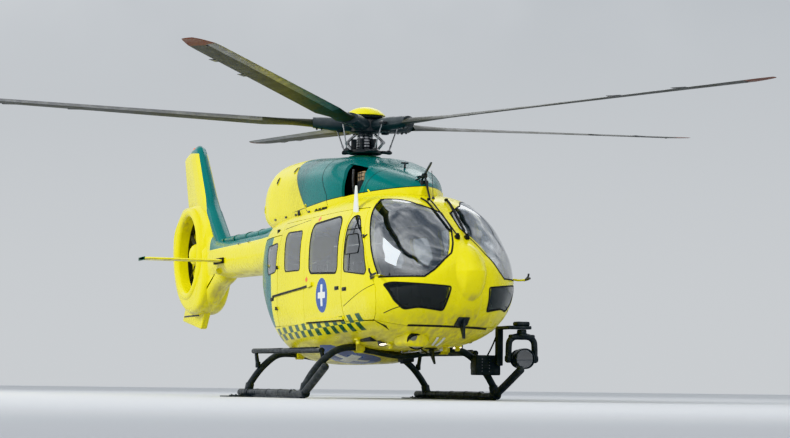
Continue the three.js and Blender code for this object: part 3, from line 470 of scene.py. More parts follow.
def curve_points(points, steps):
    """Smooth curve through points, with more steps where they lie apart."""
    points = [Vector(p) for p in points]
    ends = [2 * points[0] - points[1]] + points + [2 * points[-1] - points[-2]]
    made = []
    for p0, p1, p2, p3 in zip(ends, ends[1:], ends[2:], ends[3:]):
        t1 = (p1 - p0).length ** 0.5
        t2 = t1 + (p2 - p1).length ** 0.5
        t3 = t2 + (p3 - p2).length ** 0.5
        for k in range(steps):
            t = t1 + (t2 - t1) * k / steps
            a1 = p0 * ((t1 - t) / t1) + p1 * (t / t1)
            a2 = p1 * ((t2 - t) / (t2 - t1)) + p2 * ((t - t1) / (t2 - t1))
            a3 = p2 * ((t3 - t) / (t3 - t2)) + p3 * ((t - t2) / (t3 - t2))
            b1 = a1 * ((t2 - t) / t2) + a2 * (t / t2)
            b2 = a2 * ((t3 - t) / (t3 - t1)) + a3 * ((t - t1) / (t3 - t1))
            made.append(b1 * ((t2 - t) / (t2 - t1)) + b2 * ((t - t1) / (t2 - t1)))
    return made + [points[-1]]


def tube(bm, points, radius, steps=6, sides=20, flat=1.0):
    """Round tube along a smooth curve. flat under one makes it an oval."""
    path = curve_points(points, steps) if steps > 1 else [Vector(p) for p in points]
    rings = []
    across = None
    for i, here in enumerate(path):
        along = (path[min(i + 1, len(path) - 1)] - path[max(i - 1, 0)]).normalized()
        across = along.orthogonal() if across is None else across - along * across.dot(along)
        across.normalize()
        other = along.cross(across)
        place = Matrix((across, other, along)).transposed().to_4x4()
        place.translation = here
        made = bmesh.ops.create_circle(bm, cap_ends=False, radius=radius, segments=sides, matrix=place)
        ring = made["verts"]
        if flat != 1.0:
            for vert in ring:
                vert.co.z = here.z + (vert.co.z - here.z) * flat
        rings.append(edges_of(ring))
    join_rings(bm, rings)


def bolts(bm, places, direction, radius=0.009, height=0.006):
    direction = Vector(direction).normalized()
    for at in places:
        at = Vector(at)
        rod(bm, at - direction * height * 0.5, at + direction * height, radius, segments=6)


def carve(base, keep=(), drop=()):
    """A copy of a mesh, cut to what lies in every keep solid and outside every drop solid."""
    scene = bpy.context.scene
    work = bpy.data.objects.new("work", base.copy())
    scene.collection.objects.link(work)
    tools = []
    for operation, meshes in (("INTERSECT", keep), ("DIFFERENCE", drop)):
        for mesh in meshes:
            tool = bpy.data.objects.new("tool", mesh)
            scene.collection.objects.link(tool)
            tools.append(tool)
            cut = work.modifiers.new("cut", "BOOLEAN")
            cut.operation = operation
            cut.solver = "MANIFOLD"
            cut.object = tool
    made = bpy.data.meshes.new_from_object(work.evaluated_get(bpy.context.evaluated_depsgraph_get()))
    for thing in tools + [work]:
        bpy.data.objects.remove(thing)
    return made


def shade_as(mesh, hulls, tolerance=0.05):
    """Shades the faces that lie on a hull as that hull, with its material index. Cut edges stay flat."""
    normals = [(0.0, 0.0, 0.0)] * len(mesh.loops)
    known = {}
    for face in mesh.polygons:
        face.use_smooth = False
        for number, (hull, index) in enumerate(hulls):
            if abs(hull.value(face.center) - 1) > tolerance:
                continue
            facing = hull.normal(face.center).dot(face.normal)
            if abs(facing) < 0.8:
                continue
            face.use_smooth = True
            face.material_index = index
            for loop in face.loop_indices:
                vert = mesh.loops[loop].vertex_index
                if (number, vert) not in known:
                    known[number, vert] = hull.normal(mesh.vertices[vert].co)
                normals[loop] = known[number, vert] * math.copysign(1, facing)
            break
    mesh.normals_split_custom_set(normals)


def link(name, made, materials, body="airframe", replaces=(), angle=35.0, keep_shading=False):
    """Makes a piece of a mesh or a bmesh, in place in the frame, with its finish and its body."""
    if isinstance(made, bmesh.types.BMesh):
        made = to_mesh(made)
    made.name = name
    if not keep_shading:
        made.shade_smooth()
        made.set_sharp_from_angle(angle=math.radians(angle))
    made.transform(Matrix.Translation((ROTOR_X, 0, 0)))
    finishes = [face.material_index for face in made.polygons]
    made.materials.clear()
    materials = [materials] if isinstance(materials, str) else materials
    for key in materials:
        made.materials.append(finish(key))
    made.polygons.foreach_set("material_index", finishes)
    piece = bpy.data.objects.new(name, made)
    bpy.context.scene.collection.objects.link(piece)
    if replaces:
        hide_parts(*([replaces] if isinstance(replaces, str) else replaces))
    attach(piece, body)
    return piece


# Shader tools

def feed(tree, socket, value):
    if isinstance(value, bpy.types.NodeSocket):
        tree.links.new(value, socket)
    elif socket.type == "RGBA" and len(value) == 3:
        socket.default_value = (*value, 1.0)
    else:
        socket.default_value = value


def fill(tree, node, inputs):
    """Sets or joins a node's inputs, and gives the node back."""
    for key, value in inputs.items():
        feed(tree, node.inputs[key], value)
    return node


def add(tree, kind, settings, inputs):
    """Adds a node with its settings and its inputs, and gives it back."""
    node = tree.nodes.new(kind)
    for key, value in settings.items():
        setattr(node, key, value)
    return fill(tree, node, inputs)


def calc(tree, operation, a, b=0.0, clamp=False):
    settings = {"operation": operation, "use_clamp": clamp}
    return add(tree, "ShaderNodeMath", settings, {0: a, 1: b}).outputs[0]


def blend_colour(tree, factor, a, b, how="MIX"):
    node = add(tree, "ShaderNodeMix", {"data_type": "RGBA", "blend_type": how}, {0: factor, 6: a, 7: b})
    return node.outputs[2]


def ramp(tree, value, low, high, to_low=0.0, to_high=1.0):
    node = add(tree, "ShaderNodeMapRange", {"interpolation_type": "SMOOTHSTEP"}, {
        "Value": value, "From Min": low, "From Max": high, "To Min": to_low, "To Max": to_high,
    })
    return node.outputs[0]


def noise(tree, coords, scale, detail=3.0, roughness=0.55):
    node = add(tree, "ShaderNodeTexNoise", {}, {
        "Vector": coords, "Scale": scale, "Detail": detail, "Roughness": roughness,
    })
    return node.outputs["Fac"]


def object_coords(tree):
    """Object coordinates with x counted from the main rotor's axis."""
    given = add(tree, "ShaderNodeTexCoord", {}, {}).outputs["Object"]
    shift = {0: given, 1: (ROTOR_X, 0, 0)}
    return add(tree, "ShaderNodeVectorMath", {"operation": "SUBTRACT"}, shift).outputs[0]


def split(tree, vector):
    return add(tree, "ShaderNodeSeparateXYZ", {}, {0: vector}).outputs


def bump(tree, height, strength, distance=0.002):
    return add(tree, "ShaderNodeBump", {}, {
        "Height": height, "Strength": strength, "Distance": distance,
    }).outputs["Normal"]


def group(name, inputs, outputs, build):
    """A shader node group, made once."""
    if name in bpy.data.node_groups:
        return bpy.data.node_groups[name]
    tree = bpy.data.node_groups.new(name, "ShaderNodeTree")
    for label, kind, default in inputs:
        socket = tree.interface.new_socket(label, in_out="INPUT", socket_type=kind)
        socket.default_value = default
    for label, kind in outputs:
        tree.interface.new_socket(label, in_out="OUTPUT", socket_type=kind)
    start = tree.nodes.new("NodeGroupInput")
    end = tree.nodes.new("NodeGroupOutput")
    for label, socket in build(tree, start.outputs).items():
        tree.links.new(socket, end.inputs[label])
    return tree


FLOAT, COLOUR, VECTOR = "NodeSocketFloat", "NodeSocketColor", "NodeSocketVector"


def weathered_and_shaded_group():
    """Paint that has faded in patches, with dust low down, a brown painted shade on downward faces, and a
    light orange peel.
    """
    def build(tree, given):
        coords = object_coords(tree)
        fade = ramp(tree, noise(tree, coords, 1.7, 4), 0.3, 0.7, 0.93, 1.04)
        faded = {0: given["Color"], "Scale": fade}
        colour = add(tree, "ShaderNodeVectorMath", {"operation": "SCALE"}, faded).outputs[0]
        # Painted shade: faces that point down are marked for the brown, as if shaded under the body
        facing = add(tree, "ShaderNodeNewGeometry", {}, {}).outputs["Normal"]
        under = ramp(tree, split(tree, facing)["Z"], -0.45, -0.95)
        low = ramp(tree, split(tree, coords)["Z"], given["Height"], 0.35)
        stretched = add(tree, "ShaderNodeMapping", {}, {"Vector": coords, "Scale": (0.7, 3.0, 2.0)})
        streaks = ramp(tree, noise(tree, stretched.outputs[0], 4.5, 6, 0.65), 0.36, 0.66)
        patch = calc(tree, "MAXIMUM", calc(tree, "MULTIPLY", under, 0.8), low)
        patch = calc(tree, "MULTIPLY", patch, streaks)
        specks = ramp(tree, noise(tree, coords, 95, 2), 0.66, 0.72, 0.0, 0.35)
        patch = calc(tree, "ADD", patch, calc(tree, "MULTIPLY", specks, low))
        # Brown for dust low down and for painted shade on downward faces
        shade_and_dirt = calc(tree, "MULTIPLY", patch, given["Dust"], True)
        colour = blend_colour(tree, shade_and_dirt, colour, given["Dust Color"])
        gloss = calc(tree, "ADD", calc(tree, "MULTIPLY", shade_and_dirt, 0.4), given["Roughness"])
        uneven = ramp(tree, noise(tree, coords, 14, 3), 0.3, 0.7, -0.03, 0.05)
        gloss = calc(tree, "ADD", gloss, uneven, True)
        waves = calc(tree, "MULTIPLY", noise(tree, coords, 3.2, 2), 12.0)
        peel = calc(tree, "ADD", noise(tree, coords, 160, 2), waves)
        return {"Color": colour, "Roughness": gloss, "Normal": bump(tree, peel, 0.03, 0.0015)}

    return group("Weathered paint", [
        ("Color", COLOUR, (0.8, 0.8, 0.8, 1)), ("Dust Color", COLOUR, (0.3, 0.25, 0.2, 1)),
        ("Dust", FLOAT, 0.5), ("Height", FLOAT, 1.0), ("Roughness", FLOAT, 0.25),
    ], [("Color", COLOUR), ("Roughness", FLOAT), ("Normal", VECTOR)], build)


def grain_group():
    """Fine grain with scuffed patches, for cast, moulded and powder-coated finishes."""
    def build(tree, given):
        coords = object_coords(tree)
        fine = noise(tree, coords, given["Scale"], 4, 0.6)
        wide = noise(tree, coords, calc(tree, "MULTIPLY", given["Scale"], 0.04), 4, 0.6)
        scuff = ramp(tree, wide, 0.42, 0.68)
        worn = calc(tree, "MULTIPLY", scuff, given["Wear"])
        colour = blend_colour(tree, worn, given["Color"], given["Worn Color"])
        colour = blend_colour(tree, ramp(tree, fine, 0.35, 0.75, 0.0, 0.22), colour, given["Worn Color"])
        rough = calc(tree, "ADD", given["Roughness"], ramp(tree, fine, 0.3, 0.7, -0.06, 0.08))
        rough = calc(tree, "SUBTRACT", rough, calc(tree, "MULTIPLY", scuff, 0.12), True)
        return {"Color": colour, "Roughness": rough, "Normal": bump(tree, fine, given["Depth"], 0.0015)}

    return group("Grain", [
        ("Color", COLOUR, (0.1, 0.1, 0.1, 1)), ("Worn Color", COLOUR, (0.2, 0.2, 0.2, 1)),
        ("Scale", FLOAT, 300.0), ("Depth", FLOAT, 0.3), ("Wear", FLOAT, 0.3), ("Roughness", FLOAT, 0.5),
    ], [("Color", COLOUR), ("Roughness", FLOAT), ("Normal", VECTOR)], build)


def zone_group():
    """One on the side of a plane that its numbers point to, with y counted to both sides."""
    def build(tree, given):
        axes = split(tree, object_coords(tree))
        x = calc(tree, "MULTIPLY", axes["X"], given["X"])
        y = calc(tree, "MULTIPLY", calc(tree, "ABSOLUTE", axes["Y"]), given["Y"])
        z = calc(tree, "MULTIPLY", axes["Z"], given["Z"])
        total = calc(tree, "ADD", calc(tree, "ADD", x, y), calc(tree, "ADD", z, given["Shift"]))
        return {"Mask": ramp(tree, total, -0.002, 0.002)}

    return group("Paint zone", [
        ("X", FLOAT, 0.0), ("Y", FLOAT, 0.0), ("Z", FLOAT, 0.0), ("Shift", FLOAT, 0.0),
    ], [("Mask", FLOAT)], build)


def new_material(name):
    material = bpy.data.materials.new(name)
    material.use_nodes = True
    tree = material.node_tree
    return material, tree, tree.nodes["Principled BSDF"]


def finish_with(tree, shader, node, inputs):
    """Joins a shader to a group that holds its colour, roughness and normal, and sets the rest."""
    given = node.outputs
    looks = {"Base Color": given["Color"], "Roughness": given["Roughness"], "Normal": given["Normal"]}
    fill(tree, shader, looks | inputs)


def in_zones(tree, zones):
    """Mask that is one where every plane of any zone holds."""
    total = None
    for planes in zones:
        part = None
        for x, y, z, shift in planes:
            plane = {"X": x, "Y": y, "Z": z, "Shift": shift}
            mask = add(tree, "ShaderNodeGroup", {"node_tree": zone_group()}, plane).outputs["Mask"]
            part = mask if part is None else calc(tree, "MULTIPLY", part, mask)
        total = part if total is None else calc(tree, "MAXIMUM", total, part)
    return total


def paint(name, zones=(), base=None, line=None, dust=0.8):
    """Glossy two-colour paint. zones are green on yellow, line a dark border strip."""
    def make():
        colours = bpy.context.scene.helicopter_paint
        material, tree, shader = new_material(name)
        colour = tuple(colours.yellow) if base is None else tuple(getattr(colours, base))
        if zones:
            colour = blend_colour(tree, in_zones(tree, zones), (*colour, 1), (*colours.green, 1))
        if line:
            colour = blend_colour(tree, in_zones(tree, line), colour, (0.012, 0.014, 0.013, 1))
        # The weathering browns the paint low down with dust and on downward faces as painted shade
        node = add(tree, "ShaderNodeGroup", {"node_tree": weathered_and_shaded_group()}, {
            "Color": colour, "Dust Color": tuple(colours.dust), "Dust": dust, "Height": 0.95,
            "Roughness": 0.27,
        })
        coat = {"Specular IOR Level": 0.35, "Coat Weight": 0.22, "Coat Roughness": 0.06}
        finish_with(tree, shader, node, coat)
        return material
    return make


def grained(name, colour, worn, scale=300, depth=0.3, wear=0.3, rough=0.5, metal=0.0):
    """Cast, moulded or powder-coated finish with a fine grain."""
    def make():
        material, tree, shader = new_material(name)
        node = add(tree, "ShaderNodeGroup", {"node_tree": grain_group()}, {
            "Color": colour, "Worn Color": worn, "Scale": scale, "Depth": depth, "Wear": wear,
            "Roughness": rough,
        })
        finish_with(tree, shader, node, {"Metallic": metal})
        return material
    return make


def glass(name, tint, smudge=0.05, coat=1.0):
    """Clear glass with a faint haze and slow waves."""
    def make():
        material, tree, shader = new_material(name)
        coords = object_coords(tree)
        fill(tree, shader, {
            "Base Color": tint,
            "Roughness": ramp(tree, noise(tree, coords, 3.5, 5), 0.35, 0.75, 0.015, smudge),
            "Transmission Weight": 1.0, "IOR": 1.5, "Specular IOR Level": 1.0, "Coat Weight": coat,
            "Coat IOR": 2.3, "Normal": bump(tree, noise(tree, coords, 1.4, 2), 0.25, 0.01),
        })
        return material
    return make


def blade_material():
    """Dark composite with a faded, streaked skin and brown-red tips."""
    material, tree, shader = new_material("Blade skin")
    coords = object_coords(tree)
    axes = split(tree, coords)
    squares = [calc(tree, "MULTIPLY", axes[key], axes[key]) for key in ("X", "Y")]
    reach = calc(tree, "SQRT", calc(tree, "ADD", *squares))
    streaks = noise(tree, coords, 5.0, 6, 0.7)
    faded = ramp(tree, streaks, 0.3, 0.7)
    colour = blend_colour(tree, faded, (0.03, 0.033, 0.03, 1), (0.062, 0.062, 0.044, 1))
    tip = ramp(tree, reach, ROTOR_R - 0.32, ROTOR_R - 0.28)
    colour = blend_colour(tree, tip, colour, (0.16, 0.055, 0.03, 1))
    fill(tree, shader, {
        "Base Color": colour, "Roughness": ramp(tree, streaks, 0.3, 0.7, 0.42, 0.62),
        "Normal": bump(tree, noise(tree, coords, 130, 3), 0.12, 0.002),
    })
    return material


def exhaust_material():
    """Heat-tinted steel: straw and blue bands towards the mouth."""
    material, tree, shader = new_material("Exhaust steel")
    coords = object_coords(tree)
    wave = calc(tree, "MULTIPLY", noise(tree, coords, 8, 4), 0.12)
    wave = calc(tree, "ADD", split(tree, coords)["X"], wave)
    colour = blend_colour(tree, ramp(tree, wave, -2.15, -2.4), (0.42, 0.39, 0.35, 1), (0.33, 0.2, 0.1, 1))
    colour = blend_colour(tree, ramp(tree, wave, -2.38, -2.52), colour, (0.1, 0.11, 0.16, 1))
    rough = ramp(tree, noise(tree, coords, 40, 4), 0.3, 0.7, 0.3, 0.5)
    fill(tree, shader, {"Base Color": colour, "Metallic": 0.9, "Roughness": rough})
    return material


def fabric_material():
    """Woven seat cover: crossed threads at a few millimetres, with soft sheen."""
    material, tree, shader = new_material("Seat weave")
    coords = object_coords(tree)
    given = {"Vector": coords, "Scale": 70.0, "Distortion": 0.4}
    waves = [add(tree, "ShaderNodeTexWave", {"bands_direction": way}, given) for way in ("X", "Z")]
    weave = calc(tree, "MULTIPLY", *(wave.outputs["Fac"] for wave in waves))
    tone = noise(tree, coords, 6, 4)
    threads = ramp(tree, weave, 0.1, 0.8)
    colour = blend_colour(tree, threads, (0.01, 0.035, 0.026, 1), (0.026, 0.085, 0.062, 1))
    colour = blend_colour(tree, ramp(tree, tone, 0.4, 0.8, 0.0, 0.35), colour, (0.045, 0.09, 0.075, 1))
    fill(tree, shader, {
        "Base Color": colour, "Sheen Weight": 0.35, "Roughness": ramp(tree, tone, 0.3, 0.7, 0.82, 0.95),
        "Normal": bump(tree, weave, 0.5, 0.002),
    })
    return material


def glowing(name, colour, strength):
    """Lamp glass that shines."""
    def make():
        material, tree, shader = new_material(name)
        ripple = noise(tree, object_coords(tree), 90, 2)
        fill(tree, shader, {
            "Base Color": blend_colour(tree, ripple, (*colour, 1), (1, 1, 1, 1)), "Emission Color": colour,
            "Roughness": ramp(tree, ripple, 0.3, 0.7, 0.08, 0.2), "Emission Strength": strength,
        })
        return material
    return make


# Planes that bound the green paint: the numbers for x, y and z, and the shift
REAR_OF_GREEN = (1, 0, 1.08, -2.29)
UNDER_GREEN = (0, 0, 1, -2.26)
UNDER_GREEN_AHEAD = (-0.05, 0, 1, -2.285)
LEADING_STRIP = (0.803, 0, 0.596, 3.66)

MATERIALS = {
    "lemon": paint("Lemon paint"),
    "clamshell": paint("Clamshell paint", zones=[[(-1, 0, -0.16, -0.79)]]),
    "cowl": paint("Cowling paint", zones=[[REAR_OF_GREEN, UNDER_GREEN, UNDER_GREEN_AHEAD]], line=[
        [REAR_OF_GREEN, (-1, 0, -1.08, 2.308)],
        [REAR_OF_GREEN, UNDER_GREEN, UNDER_GREEN_AHEAD, (0, 0, -1, 2.268)],
        [UNDER_GREEN, UNDER_GREEN_AHEAD, (0.05, 0, -1, 2.294)],
    ]),
    "boom": paint("Boom paint", zones=[[LEADING_STRIP, (0, 0, 1, -2.13)]]),
    "fin": paint("Fin paint", zones=[[LEADING_STRIP], [(0.1, 0, 1, -2.97)]]),
    "tan": grained("Filter box", (0.3, 0.22, 0.13), (0.42, 0.33, 0.22), 90, 0.4, 0.4, 0.8),
    "green_film": paint("Green film", base="checks", dust=0.35),
    "blue_film": paint("Blue film", base="emblem", dust=0.3),
    "orange_film": paint("Orange film", base="markers", dust=0.2),
    "white_film": paint("White film", base="pale", dust=0.3),
    "lining": grained("Cabin lining", (0.42, 0.45, 0.48), (0.52, 0.55, 0.57), 120, 0.2, 0.2, 0.8),
    "glass": glass("Windshield glass", (0.5, 0.54, 0.57)),
    "side_glass": glass("Door glass", (0.88, 0.91, 0.93), coat=0.45),
    "chin_glass": glass("Chin window glass", (0.14, 0.17, 0.16), coat=0.1),
    "seal": grained("Seal rubber", (0.012, 0.013, 0.013), (0.03, 0.03, 0.03), 420, 0.25, 0.2, 0.62),
    "gear": grained("Gear powder coat", (0.022, 0.026, 0.028), (0.075, 0.08, 0.085), 380, 0.35, 0.45, 0.48),
    "blade": blade_material,
    "blade_edge": grained(
        "Blade edge metal", (0.24, 0.24, 0.25), (0.36, 0.36, 0.35), 200, 0.1, 0.6, 0.42, 0.8),
    "hub": grained("Hub metal", (0.055, 0.058, 0.062), (0.15, 0.14, 0.13), 260, 0.25, 0.5, 0.45, 0.35),
    "steel": grained("Link steel", (0.42, 0.42, 0.43), (0.62, 0.61, 0.6), 150, 0.08, 0.4, 0.32, 0.95),
    "exhaust": exhaust_material,
    "plastic": grained("Moulded plastic", (0.03, 0.032, 0.034), (0.07, 0.072, 0.075), 340, 0.3, 0.2, 0.55),
    "fabric": fabric_material,
    "lamp": glowing("Lamp glass", (1.0, 0.93, 0.8), 3.0),
    "screen": glass("Lens glass", (0.1, 0.12, 0.14), 0.03),
    "tread": grained("Grip tread", (0.016, 0.017, 0.018), (0.05, 0.05, 0.05), 160, 0.9, 0.3, 0.85),
    "sleeve": grained("Blade sleeve", (0.05, 0.058, 0.062), (0.09, 0.1, 0.1), 240, 0.25, 0.4, 0.42),
    "fan": grained("Fan metal", (0.045, 0.047, 0.05), (0.13, 0.13, 0.13), 220, 0.15, 0.5, 0.4, 0.5),
}


@lru_cache(maxsize=None)
def finish(key):
    return MATERIALS[key]()


# User settings

TINT = {"subtype": "COLOR", "size": 3}


class HelicopterPaint(bpy.types.PropertyGroup):
    """Colours of the paint and films"""
    yellow: FloatVectorProperty(
        name="Yellow", description="Main body colour", default=(0.78, 0.7, 0.012), **TINT)
    green: FloatVectorProperty(
        name="Green", description="Cowling and fin colour", default=(0.0, 0.135, 0.125), **TINT)
    checks: FloatVectorProperty(
        name="Checks", description="Colour of the checker band", default=(0.004, 0.085, 0.035), **TINT)
    emblem: FloatVectorProperty(
        name="Emblem", description="Colour of the round door emblem", default=(0.03, 0.09, 0.33), **TINT)
    markers: FloatVectorProperty(
        name="Markers", description="Colour of the door markers", default=(0.85, 0.16, 0.03), **TINT)
    pale: FloatVectorProperty(
        name="Pale", description="Colour of pale marks and aerials", default=(0.75, 0.77, 0.72), **TINT)
    # Brown used for dust low on the body and for painted shade on downward faces
    dust: FloatVectorProperty(
        name="Dust", description="Colour of the dirt low on the body", default=(0.3, 0.24, 0.13), **TINT)


class HelicopterSizes(bpy.types.PropertyGroup):
    """Sizes of the trim, which the frame doesn't fix"""
    check: FloatProperty(
        name="Check", description="Length of one check", default=0.13, min=0.05, unit="LENGTH")
    checks: IntProperty(name="Checks", description="Number of checks in each row", default=24, min=2)
    seal: FloatProperty(
        name="Seal", description="Width of a window's rubber seal", default=0.022, min=0.005, unit="LENGTH")
    emblem: FloatProperty(
        name="Emblem", description="Radius of the round door emblem", default=0.2, min=0.02, unit="LENGTH")


class HelicopterCamera(bpy.types.PropertyGroup):
    """Where the picture is taken from"""
    azimuth: FloatProperty(
        name="Azimuth", description="Angle from the nose towards starboard", subtype="ANGLE",
        default=math.radians(20.06))
    distance: FloatProperty(
        name="Distance", description="From the mast to the camera", default=25.0, min=8, unit="LENGTH")
    height: FloatProperty(
        name="Height", description="Camera above the floor", default=0.12, min=0.05, unit="LENGTH")
    roll: FloatProperty(
        name="Roll", description="Tilt of the picture", subtype="ANGLE", default=math.radians(0.7))


# Shared solids of the body

@lru_cache(maxsize=None)
def pod(inward=0.0):
    return Hull(POD, POD_STATIONS, inward)


@lru_cache(maxsize=None)
def cowl(inward=0.0):
    return Hull(COWL, COWL_STATIONS, inward, 80, 4)


@lru_cache(maxsize=None)
def boom(inward=0.0):
    return Hull(BOOM, BOOM_STATIONS, inward, 64, 5)


@lru_cache(maxsize=None)
def solid(make, inward=0.0):
    return make(inward).mesh()


@lru_cache(maxsize=None)
def shell(make, wall, proud=0.0):
    """A body's wall, from a depth in it to a height over it."""
    return carve(solid(make, -proud), drop=[solid(make, wall)])


def side_prism(outline, side, depth=0.25):
    """Outline seen from the side, from a depth near the middle to beyond the skin."""
    return prism_mesh(outline, "y", side * depth, side * BEYOND)


def windshield_solid(side, gap):
    """What the windshield's opening cuts, drawn in by a gap."""
    front = prism_mesh(inset(mirrored(metres(WINDSHIELD_FRONT), side), gap), "x", 1.5, 3.6)
    profile = prism_mesh(inset(metres(WINDSHIELD_SIDE), gap), "y", 0, side * BEYOND)
    plan = prism_mesh(inset(plan_mirrored(metres(WINDSHIELD_PLAN), side), gap), "z", 1.2, 2.6)
    return carve(front, keep=[profile, plan])


def chin_solid(side, gap):
    return prism_mesh(inset(rounded(mirrored(metres(CHIN_WINDOW_FRONT), side), 0.03), gap), "x", 2.45, 3.6)


def skin_piece(name, mesh, replaces, body="airframe", outside="lemon", hull=pod, wall=WALL):
    """Links a carved part of a body's wall: its outside, its lining and its cut edges."""
    shade_as(mesh, [(hull(0.0), 0), (hull(wall), 1)])
    return link(name, mesh, (outside, "lining"), body, replaces, keep_shading=True)


def film(name, cutter, material, rise=0.0008, hull=pod, body="airframe"):
    """A thin film or strip that lies on a body's skin where a solid crosses it."""
    mesh = carve(shell(hull, 0.001, rise), keep=[cutter])
    shade_as(mesh, [(hull(-rise), 0)])
    return link(name, mesh, material, body, keep_shading=True)


def cockpit_hinge_line(side):
    """Top and foot of a cockpit door's hinge axis."""
    return Vector((2.187, 0.804 * side, 1.784)), Vector((2.517, 0.836 * side, 1.314))


@lru_cache(maxsize=None)
def cockpit_sweep(side):
    """Solids of a cockpit door, grown a little, over the first part of its swing."""
    top, foot = cockpit_hinge_line(side)
    outline = side_prism(inset(metres(COCKPIT_DOOR), DOOR_SEAM - SWING_GAP), side)
    door = carve(shell(pod, WALL + SWING_GAP, SWING_GAP), keep=[outline])
    made = []
    for degrees in range(2, 22, 2):
        turned = door.copy()
        turn = Matrix.Rotation(side * math.radians(degrees), 4, foot - top)
        turned.transform(Matrix.Translation(top) @ turn @ Matrix.Translation(-top))
        made.append(turned)
    return made


def ribbon(bm, points, half, axis, start, end):
    """Solids that cut a line of even width out of a skin."""
    for a, b in zip(points, points[1:]):
        across = (Vector(b) - Vector(a)).normalized().orthogonal() * half
        corners = [Vector(a) + across, Vector(b) + across, Vector(b) - across, Vector(a) - across]
        prism(bm, [tuple(c) for c in corners], axis, start, end)


def door_body(kind, side):
    """Body that a door moves with. The sliding doors and side panels stay on the airframe."""
    moving = {"cockpit": f"cockpit_door_{side}_body", "clamshell": f"clamshell_{side}_body"}
    return moving.get(kind, "airframe")


WINDOWS = (
    ("cockpit", COCKPIT_WINDOW, 0.05, "cockpit_window"),
    ("sliding", SLIDING_WINDOW, 0.07, "sliding_window"),
    ("side", SIDE_WINDOW, 0.06, "side_window"),
    ("clamshell", CLAMSHELL_WINDOW, 0.05, "clamshell_window"),
)


@lru_cache(maxsize=None)
def pod_front(y, z):
    """How far ahead the pod's skin lies, seen from the front."""
    return last_inside(2.0, POD_STATIONS[0] / 1000, lambda x: pod().value(Vector((x, y, z))) < 1, 18)


def radome_x(y, z):
    """Front of the nose: the pod with the radome and a shallow keel below grown smoothly out of it."""
    skin = pod_front(round(abs(y), 5), round(z, 5))
    inner = 1 - (y / 0.18) ** 2 - ((z - 1.37) / 0.31) ** 2
    dome = 3.265 - 0.55 * max(z - 1.37, 0) + 0.22 * math.sqrt(max(inner, 0)) - 0.5 * max(-inner, 0)
    soft = 0.05
    overlap = max(soft - abs(skin - dome), 0) / soft
    edge = 0.135 + 0.1 * max(1.15 - z, 0)
    keel = 0.016 * min(max((edge - abs(y)) / 0.03, 0), 1) * min(max((z - 0.86) / 0.05, 0), 1)
    keel *= min(max((1.5 - z) / 0.2, 0), 1)
    border = min((0.25 - abs(y)) / 0.02, (z - 0.84) / 0.02, (1.82 - z) / 0.02, 1)
    return max(skin, dome) + overlap ** 2 * soft / 4 + keel - 0.004 * (1 - max(border, 0)) + 0.0005


def window_outline(kind):
    for name, outline, radius, _ in WINDOWS:
        if name == kind:
            return rounded(metres(outline), radius)


class HELI_OT_cabin(bpy.types.Operator):
    """Builds the cabin's skins: belly, roof, nose and side panels"""
    bl_idname = "helicopter.cabin"
    bl_label = "Cabin skins"

    def execute(self, context):
        self.belly()
        roof = prism_mesh(inset(metres(ROOF_SEAM), SEAM), "y", -BEYOND, BEYOND)
        screens = [windshield_solid(s, 0) for _, s in SIDES]
        made = carve(shell(pod, WALL), keep=[roof], drop=[solid(boom, -SEAM), *screens])
        skin_piece("roof_skin", made, "cabin_roof")
        self.nose(screens)
        for side, s in SIDES:
            panel = side_prism(inset(metres(SIDE_PANEL), SEAM), s)
            made = carve(shell(pod, WALL), keep=[panel], drop=[side_prism(window_outline("side"), s)])
            skin_piece(f"side_panel_{side}_skin", made, f"side_panel_{side}")
        return {"FINISHED"}

    def belly(self):
        above = block_mesh((-2.6, -BEYOND, FLOOR_Z), (3.6, BEYOND, 3.0))
        room = carve(solid(pod, WALL), keep=[above])
        channels = bmesh.new()
        for _, x, bend in CROSS_TUBES:
            tube(channels, cross_path(x, bend), TUBE_R + 0.002, 6, 16)
        under = prism_mesh(metres(LOWER_SEAM), "y", -BEYOND, BEYOND)
        doors = [door for _, s in SIDES for door in cockpit_sweep(s)]
        made = carve(solid(pod), keep=[under], drop=[room, to_mesh(channels), *doors])
        skin = skin_piece("belly_skin", made, "lower_fuselage")
        for face in skin.data.polygons:
            if face.normal.z > 0.99 and abs(face.center.z - FLOOR_Z) < 0.002:
                face.material_index = 1

    def nose(self, screens):
        front = block_mesh((1.65, -BEYOND, 0.4), (4.0, BEYOND, 2.8))
        drop = [
            prism_mesh(metres(ROOF_SEAM), "y", -BEYOND, BEYOND),
            prism_mesh(inset(metres(LOWER_SEAM), -SEAM), "y", -BEYOND, BEYOND),
            *screens, *(side_prism(metres(COCKPIT_DOOR), s) for _, s in SIDES),
            *(chin_solid(s, 0) for _, s in SIDES),
        ]
        made = carve(shell(pod, WALL), keep=[front], drop=drop)
        skin_piece("cockpit_skin", made, "cockpit_shell")
        bm = bmesh.new()
        grid = bmesh.ops.create_grid(bm, x_segments=64, y_segments=100, size=1.0)["verts"]
        for vert in grid:
            y, z = 0.25 * vert.co.x, 1.33 + 0.49 * vert.co.y
            half = 0.25 if z < 1.5 else 0.25 - 0.5 * (z - 1.5)
            y *= half / 0.25
            vert.co = (radome_x(y, z), y, z)
        made = bmesh.ops.extrude_face_region(bm, geom=list(bm.faces))
        back = [v for v in made["geom"] if isinstance(v, bmesh.types.BMVert)]
        bmesh.ops.translate(bm, verts=back, vec=(-0.04, 0, 0))
        link("radome_skin", bm, "lemon", replaces="nose_radome", angle=50)


